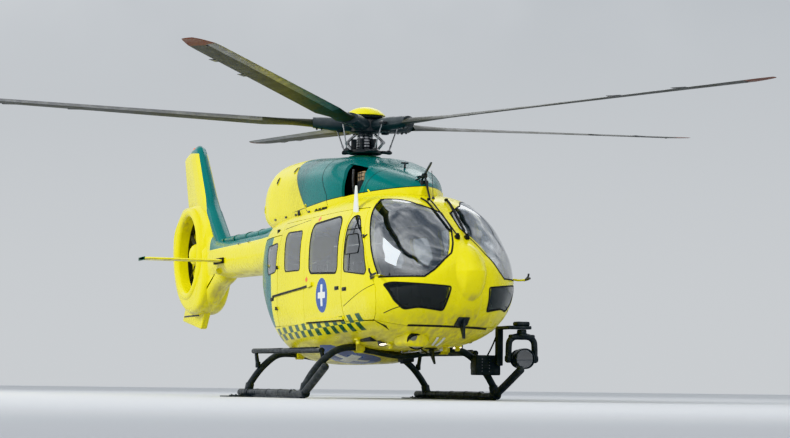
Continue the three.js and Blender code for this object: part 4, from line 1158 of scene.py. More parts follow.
class HELI_OT_doors(bpy.types.Operator):
    """Builds the cockpit, sliding and clamshell doors with their hinges, handles and rails"""
    bl_idname = "helicopter.doors"
    bl_label = "Doors"

    def execute(self, context):
        for side, s in SIDES:
            wall = shell(pod, WALL)
            made = carve(wall, keep=[side_prism(inset(metres(COCKPIT_DOOR), DOOR_SEAM), s)],
                         drop=[side_prism(window_outline("cockpit"), s)])
            node, body = f"cockpit_door_{side}", door_body("cockpit", side)
            skin_piece(f"cockpit_door_{side}_skin", made, node, body)
            made = carve(wall, keep=[side_prism(inset(metres(SLIDING_DOOR), SEAM), s)],
                         drop=[side_prism(window_outline("sliding"), s), *cockpit_sweep(s)])
            skin_piece(f"sliding_door_{side}_skin", made, f"sliding_door_{side}")
            made = carve(wall, keep=[prism_mesh(metres(CLAMSHELL), "y", s * CLAM_SEAM, s * BEYOND)],
                         drop=[solid(boom, -DOOR_SEAM), side_prism(window_outline("clamshell"), s)])
            node, body = f"clamshell_door_{side}", door_body("clamshell", side)
            skin_piece(f"clamshell_{side}_skin", made, node, body, "clamshell")
            self.hinges(side, s)
            self.handles(side, s)
        return {"FINISHED"}

    def hinges(self, side, s):
        cockpit = cockpit_hinge_line(s)
        along = (cockpit[0] - cockpit[1]).normalized()
        clam = [Vector((-0.716, 0.874 * s, z)) for z in (1.08, 1.58)]
        for label, places, line, moving, arm in (
            ("cockpit", cockpit, along, door_body("cockpit", side), Vector((-0.034, -0.032 * s, -0.024))),
            ("clamshell", clam, Vector(UP), door_body("clamshell", side), Vector((-0.036, -0.038 * s, 0))),
        ):
            for end, body in ((1, moving), (-1, "airframe")):
                bm = bmesh.new()
                for at in places:
                    rod(bm, at + line * end * 0.0005, at + line * end * 0.022, 0.011, bevel=0.002)
                    middle = at + line * end * 0.011
                    reach = Vector((arm.x * end, arm.y, arm.z * end))
                    rod(bm, middle, middle + reach, 0.008, 0.013, bevel=0.001)
                link(f"{label}_hinge_{side}_{'door' if end > 0 else 'frame'}", bm, "hub", body)

    def handles(self, side, s):
        for label, x, z, body in (
            ("cockpit", 1.76, 1.22, door_body("cockpit", side)), ("sliding", 1.5, 1.24, "airframe"),
            ("clamshell", -0.93, 1.2, door_body("clamshell", side)),
        ):
            y = pod().surface_y(x, z) * s
            bm = bmesh.new()
            block(bm, (x - 0.07, y - 0.004, z - 0.022), (x + 0.07, y + 0.004, z + 0.022), 0.0035, 3)
            near, far = y + s * 0.002, y + s * 0.012
            block(bm, (x - 0.052, near, z - 0.009), (x + 0.045, far, z + 0.012), 0.003, 3)
            link(f"{label}_handle_{side}", bm, "plastic", body)
        rail = [(-0.9, 1.22), (0.19, 1.275), (0.6, 1.3), (0.6, 1.325), (0.19, 1.3), (-0.9, 1.245)]
        carrier = rounded([(0.5, 1.285), (0.64, 1.3), (0.64, 1.345), (0.5, 1.33)], 0.01)
        sill = rounded([(0.36, 0.885), (1.6, 0.885), (1.6, 0.915), (0.36, 0.915)], 0.01)
        rubber = rounded([(0.36, 0.868), (1.6, 0.868), (1.6, 0.884), (0.36, 0.884)], 0.004)
        for name, outline, material, rise in (
            ("slide_rail", rail, "hub", 0.012), ("slide_rail_slot", inset(rail, 0.006), "seal", 0.0135),
            ("slide_carrier", carrier, "lemon", 0.022), ("door_sill", sill, "lemon", 0.016),
            ("door_sill_rubber", rubber, "seal", 0.006),
        ):
            film(f"{name}_{side}", side_prism(outline, s), material, rise)
        for k, (x, z) in enumerate(((0.62, 2.085), (0.42, 1.385))):
            arrow = [(x - 0.05, z), (x, z + 0.035), (x + 0.05, z), (x, z - 0.035)]
            film(f"door_marker_{k}_{side}", side_prism(arrow, s), "orange_film")


class HELI_OT_windows(bpy.types.Operator):
    """Builds the panes and the rubber that holds them"""
    bl_idname = "helicopter.windows"
    bl_label = "Windows"

    def execute(self, context):
        width = context.scene.helicopter_sizes.seal
        for side, s in SIDES:
            for kind, _, _, node in WINDOWS:
                outline, body = window_outline(kind), door_body(kind, side)
                self.pane(f"{node}_{side}", side_prism(inset(outline, PANE_GAP), s), "side_glass", body)
                broad = width if kind == "sliding" else width * 0.6
                outer, inner = [side_prism(inset(outline, broad * share), s) for share in (-0.45, 0.55)]
                self.seal(f"{node}_{side}_seal", 0.006, 0.0025, outer, inner, body)
            self.pane(f"windshield_{side}", windshield_solid(s, PANE_GAP), "glass")
            self.pane(f"chin_window_{side}", chin_solid(s, PANE_GAP), "chin_glass")
            for label, opening, rise, grown in (
                ("windshield", windshield_solid, 0.0022, 0.004), ("chin_window", chin_solid, 0.002, 0.005),
            ):
                self.seal(f"{label}_{side}_seal", 0.004, rise, opening(s, -grown), opening(s, 0.012))
            self.vent(side, s)
            self.inner_frame(side, s)
        return {"FINISHED"}

    def pane(self, node, opening, material, body="airframe"):
        made = carve(shell(pod, GLASS), keep=[opening])
        shade_as(made, [(pod(0.0), 0), (pod(GLASS), 0)])
        link(f"{node}_pane", made, material, body, node, keep_shading=True)

    def seal(self, name, depth, rise, outer, inner, body="airframe"):
        """Rubber between two solids, from a depth under the skin to a rise over it."""
        made = carve(shell(pod, depth, rise), keep=[outer], drop=[inner])
        shade_as(made, [(pod(-rise), 0)])
        link(name, made, "seal", body, keep_shading=True)

    def vent(self, side, s):
        """Sliding vent in the cockpit door's window, with its bars."""
        outer = rounded([(1.74, 1.6), (1.74, 1.83), (2.02, 1.83), (2.13, 1.7), (2.13, 1.6)], 0.03)
        cut = [side_prism(inset(outer, 0.01), s)]
        rim = carve(shell(pod, 0.002, 0.004), keep=[side_prism(outer, s)], drop=cut)
        link(f"vent_frame_{side}", rim, "seal", door_body("cockpit", side))
        bars = bmesh.new()
        for points in (
            ((1.7, 1.885), (2.06, 1.885)), ((1.895, 1.83), (1.895, 2.03)), ((1.895, 1.42), (1.895, 1.6)),
        ):
            ribbon(bars, points, 0.005, "y", s * 0.3, s * BEYOND)
        film(f"window_bars_{side}", to_mesh(bars), "seal", 0.0025, body=door_body("cockpit", side))

    def inner_frame(self, side, s):
        """Dark strip behind the windshield, where it meets its frame."""
        path = (
            (1.8, 0.66, 2.1), (2.18, 0.655, 1.98), (2.6, 0.6, 1.74), (2.9, 0.51, 1.5),
            (3.04, 0.45, 1.36),
        )
        bm = bmesh.new()
        tube(bm, [(x, s * y, z) for x, y, z in path], 0.021, 6, 12)
        link(f"screen_frame_{side}", bm, "plastic")


class HELI_OT_markings(bpy.types.Operator):
    """Lays the checker band, the round emblems and the panel seams on the skin"""
    bl_idname = "helicopter.markings"
    bl_label = "Markings"

    def execute(self, context):
        sizes = context.scene.helicopter_sizes
        for side, s in SIDES:
            self.checks(f"checks_{side}", s, sizes)
            self.emblem(f"emblem_{side}", "y", (0.97, 1.18), sizes.emblem, s * 0.3, s * BEYOND)
            seams = bmesh.new()
            for points in (
                ((1.7, 1.03), (2.2, 1.16), (2.55, 1.24)), ((-0.65, 2.05), (0.3, 2.1)),
                ((2.6, 0.93), (2.95, 1.02)),
            ):
                ribbon(seams, points, 0.004, "y", s * 0.3, s * BEYOND)
            film(f"side_seams_{side}", to_mesh(seams), "seal", 0.0004)
        self.emblem("belly_emblem", "z", (0.55, -0.35), 0.36, 0.2, 0.62)
        seams = bmesh.new()
        ribbon(seams, ((-0.5, 0.8), (0.39, 0.777)), 0.011, "x", 2.3, 3.6)
        for points in (((-0.3, 1.02), (-0.12, 1.2)), ((0.12, 1.2), (0.3, 1.02))):
            ribbon(seams, points, 0.003, "x", 2.3, 3.6)
        film("nose_seams", to_mesh(seams), "seal", 0.0005)
        return {"FINISHED"}

    def checks(self, name, s, sizes):
        """Two rows of slanted checks in a band that narrows and drops towards the rear."""
        start, end, lean = 2.1, 2.1 - sizes.checks * sizes.check, 0.03

        def height(x, row):
            share = (start - x) / (start - end)
            return 0.945 - 0.115 * share - row * (0.09 - 0.018 * share)

        bm = bmesh.new()
        for row in range(2):
            for k in range(row, sizes.checks, 2):
                ahead = start - k * sizes.check
                behind = ahead - sizes.check
                top, foot = ahead + lean * row, ahead + lean * (row + 1)
                corners = [
                    (top, height(ahead, row)), (top - sizes.check, height(behind, row)),
                    (foot - sizes.check, height(behind, row + 1)), (foot, height(ahead, row + 1)),
                ]
                prism(bm, corners, "y", s * 0.35, s * BEYOND)
        film(name, to_mesh(bm), "green_film")

    def emblem(self, name, axis, centre, radius, start, end):
        cx, cy = centre
        turns = [TURN * k / 48 for k in range(48)]
        disc = [(cx + radius * math.cos(a), cy + radius * math.sin(a)) for a in turns]
        film(f"{name}_disc", prism_mesh(disc, axis, start, end), "blue_film", 0.0008)
        arm, width = radius * 0.62, radius * 0.17
        plus = [
            (cx - width, cy - arm), (cx + width, cy - arm), (cx + width, cy - width),
            (cx + arm, cy - width), (cx + arm, cy + width), (cx + width, cy + width),
            (cx + width, cy + arm), (cx - width, cy + arm), (cx - width, cy + width),
            (cx - arm, cy + width), (cx - arm, cy - width), (cx - width, cy - width),
        ]
        film(f"{name}_plus", prism_mesh(plus, axis, start, end), "white_film", 0.0014)


def exhaust_line(s):
    """Root and mouth of an exhaust, on its axis."""
    return Vector((-1.8, 0.235 * s, 2.59)), Vector((-2.56, 0.275 * s, 2.57))


MAST_AXIS = Vector((math.sin(MAST_TILT), 0, math.cos(MAST_TILT)))


def on_mast(height):
    """Point of the tilted mast's axis."""
    return Vector(((height - ROTOR_Z) * math.tan(MAST_TILT), 0, height))


class HELI_OT_cowling(bpy.types.Operator):
    """Builds the engine cowling with its intakes, vents, latches and exhausts"""
    bl_idname = "helicopter.cowling"
    bl_label = "Cowling"

    def execute(self, context):
        drop = [solid(pod, -0.001), solid(boom, -0.001), rod_mesh(on_mast(2.7), on_mast(3.1), 0.19)]
        for _, s in SIDES:
            drop.append(prism_mesh(rounded(metres(INTAKE), 0.05), "y", s * 0.25, s * 0.9))
            start, end = exhaust_line(s)
            drop.append(rod_mesh(start, end + (end - start) * 0.1, 0.13))
        whole = carve(shell(cowl, COWL_WALL), drop=drop)
        for name, low, high, node in (
            ("cowl_front_skin", COWL_SEAM + SEAM, 2.5, "cowling_front"),
            ("cowl_rear_skin", -3.2, COWL_SEAM, "cowling_rear"),
        ):
            made = carve(whole, keep=[block_mesh((low, -BEYOND, 1.9), (high, BEYOND, 3.2))])
            skin_piece(name, made, node, outside="cowl", hull=cowl, wall=COWL_WALL)
        self.fittings()
        for side, s in SIDES:
            self.intake(side, s)
            self.exhaust(side, s)
        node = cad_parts["engines"]
        for slot in node.material_slots:
            slot.material = finish("hub")
        return {"FINISHED"}

    def fittings(self):
        for side, s in SIDES:
            vents = bmesh.new()
            rims = bmesh.new()
            for x, z, radius in (
                (-0.807, 2.8, 0.048), (-1.38, 2.713, 0.048), (-2.033, 2.4, 0.04), (-0.15, 2.3, 0.018),
            ):
                at = Vector((x, cowl().surface_y(x, z) * s, z))
                out = cowl().normal(at)
                rod(vents, at - out * 0.01, at + out * 0.0035, radius, segments=32)
                profile = [
                    (radius, 0.001), (radius, 0.006), (radius + 0.008, 0.006), (radius + 0.011, 0.001),
                ]
                lathe(rims, at, out, profile, 32)
            link(f"cowl_vents_{side}", vents, "seal")
            link(f"cowl_vent_rims_{side}", rims, "lemon")
            latches = bmesh.new()
            for x in (0.72, 0.45, 0.2, -0.05, -0.55, -0.95, -1.4):
                y = cowl().surface_y(x, 2.225) * s
                block(latches, (x - 0.035, y - 0.006, 2.213), (x + 0.035, y + 0.006, 2.237), 0.003)
            link(f"cowl_latches_{side}", latches, "hub")
            holds = bmesh.new()
            for x, z, hull in ((-0.419, 2.239, cowl()), (-0.95, 2.039, pod())):
                y = hull.surface_y(x, z) * s
                block(holds, (x - 0.05, y - 0.004, z - 0.03), (x + 0.05, y + 0.0035, z + 0.03), 0.003)
            link(f"footholds_{side}", holds, "seal")
            # Dark lines along the front cowling's folds: seams, and painted shadow of the folds
            seams = bmesh.new()
            points = ((0.2, 2.87), (0.263, 2.81), (0.347, 2.6), (0.529, 2.38), (0.56, 2.26))
            ribbon(seams, points, 0.006, "y", s * 0.2, s * 0.9)
            ribbon(seams, ((1.36, 2.7), (1.34, 2.52), (1.3, 2.34)), 0.004, "y", s * 0.2, s * 0.9)
            film(f"cowl_seams_{side}", to_mesh(seams), "seal", 0.0006, cowl)
            lip = rounded(metres(INTAKE), 0.05)
            outer = prism_mesh(inset(lip, -0.012), "y", s * 0.25, s * 0.9)
            inner = prism_mesh(inset(lip, 0.006), "y", s * 0.2, s)
            link(f"intake_lip_{side}", carve(shell(cowl, 0.03, 0.004), keep=[outer], drop=[inner]), "cowl")
        brow = bmesh.new()
        for _, s in SIDES:
            points = [(2.0, 0.0), (1.93, 0.13), (1.8, 0.24), (1.6, 0.36), (1.36, 0.455)]
            path = [(x, s * y, cowl().surface_z(x, min(y, 0.4), True) - 0.1 - 0.1 * y) for x, y in points]
            tube(brow, path, 0.012, 6, 10)
        link("cowl_brow", brow, "lemon", angle=60)

    def intake(self, side, s):
        """Dark bay behind the opening: a filter box, a duct and a screen of bars."""
        bm = bmesh.new()
        block(bm, (0.8, s * 0.3, 2.26), (1.3, s * 0.2, 2.72), 0.01)
        block(bm, (1.1, s * 0.5, 2.27), (1.28, s * 0.21, 2.5), 0.02)
        link(f"intake_bay_{side}", carve(to_mesh(bm), keep=[solid(cowl, 0.04)]), "seal")
        bm = bmesh.new()
        block(bm, (0.95, s * 0.44, 2.36), (1.16, s * 0.25, 2.62), 0.02, 3)
        link(f"intake_filter_{side}", bm, "tan")
        bars = bmesh.new()
        for k in range(6):
            z = 2.375 + 0.045 * k
            tube(bars, [(0.955, s * 0.444, z), (1.155, s * 0.444, z)], 0.004, 1, 8)
        for x in (0.99, 1.05, 1.11):
            tube(bars, [(x, s * 0.449, 2.365), (x, s * 0.449, 2.615)], 0.004, 1, 8)
        tube(bars, [(0.92, s * 0.45, 2.3), (0.9, s * 0.47, 2.5), (0.86, s * 0.45, 2.66)], 0.022, 5, 14)
        link(f"intake_screen_{side}", bars, "hub")

    def exhaust(self, side, s):
        start, end = exhaust_line(s)
        along = (end - start).normalized()
        length = (end - start).length
        bm = bmesh.new()
        profile = [
            (0.107, 0.15), (0.125, 0.14), (0.125, length - 0.03), (0.131, length - 0.018),
            (0.131, length - 0.004), (0.126, length), (0.112, length), (0.107, length - 0.02),
            (0.107, 0.15),
        ]
        lathe(bm, start, along, profile, 56)
        lathe(bm, start, along, [(0.0, 0.17), (0.106, 0.17), (0.106, 0.19), (0.0, 0.22)], 40)
        link(f"exhaust_{side}_pipe", bm, "exhaust", replaces=f"exhaust_{side}")


# Main rotor

ROTOR = Matrix.Translation((0, 0, ROTOR_Z)) @ Matrix.Rotation(MAST_TILT, 4, "Y")


def around(k):
    """Place of a blade on the hub."""
    return ROTOR @ Matrix.Rotation(FIRST_BLADE + TURN * k / BLADES, 4, "Z")


def rise(reach):
    """Height that the coning adds."""
    return reach * math.tan(CONING)


def aerofoil(chord, thick, cosine, sine):
    """Point of a blade section, leading edge towards +Y; the quarter chord lies at zero."""
    along = 0.5 + 0.5 * cosine
    depth = 1.45 * math.sqrt(max(1 - along, 0)) * along ** 0.85 + 0.04 * (1 - abs(2 * along - 1))
    lift = 0.55 if sine >= 0 else 0.42
    height = math.copysign(depth, sine) * thick * lift * min(1, abs(sine) * 6)
    return Vector((0, (along - 0.72) * chord, height))


# Blade stations: reach, chord, thickness, twist in degrees
BLADE = (
    (0.64, 0.232, 0.13, 12), (0.76, 0.218, 0.116, 12), (0.9, 0.212, 0.096, 12),
    (1.08, 0.255, 0.072, 11.5), (1.25, 0.302, 0.055, 11), (1.9, 0.3, 0.045, 9.7),
    (2.55, 0.3, 0.038, 8.4), (3.2, 0.3, 0.036, 7), (4.1, 0.3, 0.034, 5.5), (4.95, 0.3, 0.032, 4),
    (5.12, 0.285, 0.029, 3.5), (5.25, 0.23, 0.026, 3), (5.34, 0.18, 0.021, 3), (5.4, 0.13, 0.016, 3),
)


def blade_place(row, cosine, sine):
    reach, chord, thick, twist = row
    sweep = -(CHORD - chord) * 0.42 if reach > 3 else 0.0
    point = Matrix.Rotation(math.radians(twist), 3, "X") @ aerofoil(chord, thick, cosine, sine)
    return point + Vector((reach, sweep, rise(reach)))


def turning(name, bm, place, material, replaces=(), angle=35.0):
    """Moves a piece into place on the main rotor and links it."""
    bm.transform(place)
    return link(name, bm, material, "main_rotor", replaces, angle)


class HELI_OT_main_rotor(bpy.types.Operator):
    """Builds the main rotor: hub, cap, sleeves, dampers, links, swashplate and blades"""
    bl_idname = "helicopter.main_rotor"
    bl_label = "Main rotor"

    def execute(self, context):
        for k in range(BLADES):
            self.blade(k)
            self.sleeve(k)
        self.centre()
        self.mast()
        return {"FINISHED"}

    def blade(self, k):
        bm = bmesh.new()
        loft(bm, BLADE, 48, blade_place)
        turning(f"blade_{k + 1}_skin", bm, around(k), "blade", f"rotor_blade_{k + 1}", 40)
        edge = bmesh.new()
        rows = [row for row in BLADE if 1.2 < row[0] < 5.2]

        def guard(row, cosine, sine):
            """Front part of the blade's section, a little proud of it."""
            reach, chord, thick, twist = row
            return blade_place((reach, chord * 1.004, thick * 1.04, twist), max(cosine, 0.35), sine)

        loft(edge, rows, 32, guard)
        turning(f"blade_{k + 1}_edge", edge, around(k), "blade_edge", angle=60)
        tabs = bmesh.new()
        for reach in (3.55, 4.35):
            row = (reach, CHORD, 0.035, 6 - (reach - 3.5) * 1.6)
            back = blade_place(row, -0.97, 0.3)
            block(tabs, back + Vector((-0.09, -0.055, -0.002)), back + Vector((0.09, 0.005, 0.002)), 0.001)
        for reach in (1.5, 5.05):
            row = (reach, CHORD, 0.04 if reach < 2 else 0.031, 10 if reach < 2 else 3.8)
            under = blade_place(row, 0.2, -1.0)
            rod(tabs, under + Vector((0, 0, 0.004)), under + Vector((0, 0, -0.004)), 0.016, bevel=0.001)
        turning(f"blade_{k + 1}_tabs", tabs, around(k), "hub")

    def sleeve(self, k):
        """Blade root: a thick sleeve, its damper, the pitch horn and link."""
        bm = bmesh.new()
        rows = (
            (0.13, 0.105, 0.068), (0.26, 0.112, 0.078), (0.4, 0.116, 0.079), (0.52, 0.116, 0.074),
            (0.638, 0.116, 0.066),
        )

        def place(row, cosine, sine):
            reach, half, thick = row
            height = thick * math.copysign(abs(sine) ** 0.8, sine)
            return Vector((reach, half * cosine, rise(reach) + height))

        loft(bm, rows, 40, place)
        turning(f"sleeve_{k + 1}", bm, around(k), "sleeve", angle=40)
        bm = bmesh.new()
        low = rise(0.3)
        lathe(bm, (0.3, 0, low), UP, [
            (0.0, -0.094), (0.04, -0.094), (0.048, -0.086), (0.048, -0.07), (0.042, -0.066),
            (0.048, -0.06), (0.048, -0.03), (0.0, -0.03),
        ], 32)
        block(bm, (0.332, -0.188, rise(0.35) - 0.024), (0.398, -0.082, rise(0.35) + 0.014), 0.008, 3)
        heads = [(0.53 + 0.06 * a, 0.045 * b, rise(0.54) - 0.07) for a in range(2) for b in BOTH]
        bolts(bm, heads, DOWN, 0.012, 0.008)
        turning(f"damper_{k + 1}", bm, around(k), "hub")
        bm = bmesh.new()
        top, foot = Vector((0.365, -0.17, rise(0.35))), Vector((0.25, -0.15, -0.3))
        rod(bm, top.lerp(foot, 0.06), top.lerp(foot, 0.94), 0.0085, segments=16)
        for share in (0.16, 0.8):
            rod(bm, top.lerp(foot, share - 0.04), top.lerp(foot, share + 0.04), 0.0125, segments=6)
        for at in (top, foot):
            rod(bm, at + Vector((0, -0.016, 0)), at + Vector((0, 0.016, 0)), 0.019, bevel=0.003)
        turning(f"pitch_link_{k + 1}", bm, around(k), "steel")

    def centre(self):
        bm = bmesh.new()
        profile = [
            (0.0, -0.085), (0.086, -0.085), (0.15, -0.085), (0.185, -0.072), (0.19, -0.055),
            (0.19, 0.055), (0.178, 0.078), (0.15, 0.09), (0.15, 0.122), (0.0, 0.122),
        ]
        lathe(bm, (0, 0, 0), UP, profile, 80)
        for k in range(15):
            angle = TURN * k / 15
            bolts(bm, [(0.155 * math.cos(angle), 0.155 * math.sin(angle), 0.088)], UP, 0.009, 0.01)
        turning("hub_centre", bm, ROTOR, "hub", "rotor_hub")
        bm = bmesh.new()
        dome = [
            (0.0, 0.23), (0.05, 0.228), (0.1, 0.219), (0.15, 0.202), (0.19, 0.178), (0.22, 0.151),
            (0.237, 0.133), (0.24, 0.127), (0.236, 0.124), (0.0, 0.124),
        ]
        lathe(bm, (0, 0, 0), UP, dome, 80)
        turning("hub_cap", bm, ROTOR, "lemon", angle=50)
        bm = bmesh.new()

        def scallop(row, cosine, sine):
            height, radius = row
            reach = radius + 0.018 * math.cos(BLADES * (math.atan2(sine, cosine) - FIRST_BLADE))
            return Vector((reach * cosine, reach * sine, height))

        loft(bm, ((0.085, 0.17), (0.092, 0.205), (0.112, 0.216), (0.1235, 0.214)), 100, scallop)
        turning("hub_cap_rim", bm, ROTOR, "hub", angle=50)
        bm = bmesh.new()
        swash = [
            (0.1, -0.345), (0.19, -0.345), (0.205, -0.335), (0.207, -0.318), (0.2, -0.3),
            (0.17, -0.292), (0.15, -0.285), (0.1, -0.285), (0.1, -0.345),
        ]
        lathe(bm, (0, 0, 0), UP, swash, 72)
        for k in range(BLADES):
            turn = Matrix.Rotation(FIRST_BLADE + TURN * k / BLADES, 4, "Z")
            arm = bmesh.new()
            block(arm, (0.13, -0.185, -0.332), (0.282, -0.115, -0.298), 0.014, 3)
            rod(arm, (0.25, -0.15, -0.335), (0.25, -0.15, -0.29), 0.026, bevel=0.003)
            block(arm, (0.1, -0.02, -0.3), (0.17, 0.02, -0.16), 0.006)
            merge(bm, arm, turn)
        turning("swashplate", bm, ROTOR, "hub")
        bm = bmesh.new()
        for k in range(2):
            turn = Matrix.Rotation(FIRST_BLADE + 0.3 + math.pi * k, 4, "Z")
            arm = bmesh.new()
            path = [(0.12, 0.0, -0.1), (0.2, 0.0, -0.165), (0.225, 0.0, -0.2), (0.17, 0.0, -0.28)]
            tube(arm, path, 0.016, 4, 12)
            rod(arm, (0.225, -0.04, -0.2), (0.225, 0.04, -0.2), 0.02, bevel=0.003)
            merge(bm, arm, turn)
        turning("rotor_scissors", bm, ROTOR, "steel")
        bm = bmesh.new()
        lathe(bm, (0, 0, 0), UP, [(0.088, -0.3), (0.094, -0.29), (0.094, -0.1), (0.088, -0.09)], 48)
        for k in range(5):
            z = 0.034 * k
            lathe(bm, (0, 0, 0), UP, [(0.094, -0.27 + z), (0.101, -0.262 + z), (0.094, -0.254 + z)], 48)
        turning("mast_boot", bm, ROTOR, "steel")

    def mast(self):
        bm = bmesh.new()
        lathe(bm, on_mast(2.75), MAST_AXIS, [
            (0.0, 0.02), (0.16, 0.02), (0.16, 0.06), (0.125, 0.09), (0.1, 0.12), (0.085, 0.16),
            (0.085, 0.4545), (0.0, 0.4545),
        ], 64)
        rod(bm, (0, 0, 2.4), (0, 0, 2.78), 0.28, 0.24, segments=64, bevel=0.01)
        for k in range(3):
            angle = TURN * k / 3 + 0.5
            foot = Vector((0.15 * math.cos(angle), 0.15 * math.sin(angle), 2.72))
            rod(bm, foot, foot + Vector((0.02, 0, 0.19)), 0.011)
        link("mast_and_gearbox", bm, "hub", replaces="rotor_mast")
        bm = bmesh.new()
        lathe(bm, on_mast(2.8), MAST_AXIS, [
            (0.192, 0.02), (0.2, 0.09), (0.196, 0.115), (0.176, 0.12), (0.165, 0.1), (0.165, 0.0),
        ], 64)
        link("mast_collar", bm, "green_film")


# Tail

SHROUD_ARC = (
    (-6400, 2540), (-6330, 2050), (-6350, 1620), (-6620, 1310), (-7000, 1210), (-7450, 1270),
    (-7850, 1490), (-8110, 1850), (-8200, 2280), (-8130, 2620),
)
SHROUD_TOP = ((-7.96, 2.9), (-6.95, 2.9))
FAIRING = (
    (-6700, 2600), (-6150, 2250), (-5560, 1960), (-5640, 1705), (-6140, 1545), (-6650, 1290), (-6990, 1225),
    (-7050, 1700), (-7000, 2300),
)
VENTRAL_FIN = ((-6700, 1400), (-7050, 985), (-8110, 1135), (-7800, 1560))
DUCT_EDGE = 0.68
# Fin sections: height at the leading and trailing edge, x of both, half thickness
FIN = (
    (2.2, 2.2, -5.83, -6.55, 0.115), (2.315, 2.315, -5.95, -6.6, 0.118),
    (2.45, 2.45, -6.115, -6.65, 0.12), (2.6, 2.6, -6.297, -6.75, 0.12),
    (2.75, 2.76, -6.479, -6.95, 0.12), (2.88, 2.9, -6.636, -7.96, 0.12),
    (2.99, 2.98, -6.73, -7.99, 0.115), (3.14, 3.12, -6.845, -8.045, 0.112),
    (3.3, 3.27, -6.966, -8.103, 0.11), (3.65, 3.55, -7.233, -8.212, 0.103),
    (3.79, 3.66, -7.34, -8.255, 0.085), (3.838, 3.7, -7.43, -8.27, 0.045),
)
FIN_NOSE = 0.13
STABILIZER = Vector((-5.43, 0, 1.93))


def fin_place(row, cosine, sine):
    front_z, rear_z, front_x, rear_x, half = row
    along = 0.5 - 0.5 * cosine
    behind = along * (front_x - rear_x) / FIN_NOSE
    nose = math.sqrt(max(1 - (1 - behind) ** 2, 0.0)) if behind < 1 else 1.0
    depth = nose * (1 - 0.75 * max(along - 0.35, 0) / 0.65)
    return Vector((
        front_x + (rear_x - front_x) * along, math.copysign(depth, sine) * half * min(1, abs(sine) * 5),
        front_z + (rear_z - front_z) * along,
    ))


def puffed(outline, half, width, steps=6):
    """Outline pushed to both sides, its rim rounded over a width."""
    count = len(outline)
    rounds = [math.pi / 2 * k / steps for k in range(steps + 1)]
    port = [(inset(outline, width * (1 - math.sin(a))), half - width * (1 - math.cos(a))) for a in rounds]

    def place(row, cosine, sine):
        points, y = row
        x, z = points[round(math.atan2(sine, cosine) / TURN * count) % count]
        return Vector((x, y, z))

    bm = bmesh.new()
    loft(bm, port + [(points, -y) for points, y in reversed(port)], count, place)
    return to_mesh(bm)


def curved(outline, steps):
    """Outline in metres, drawn as a smooth curve."""
    return [(p.x, p.y) for p in curve_points([(a, b, 0) for a, b in metres(outline)], steps)]


def duct_hole(segments):
    return rod_mesh(FAN - Vector((0, 0.4, 0)), FAN + Vector((0, 0.4, 0)), DUCT_EDGE, segments)


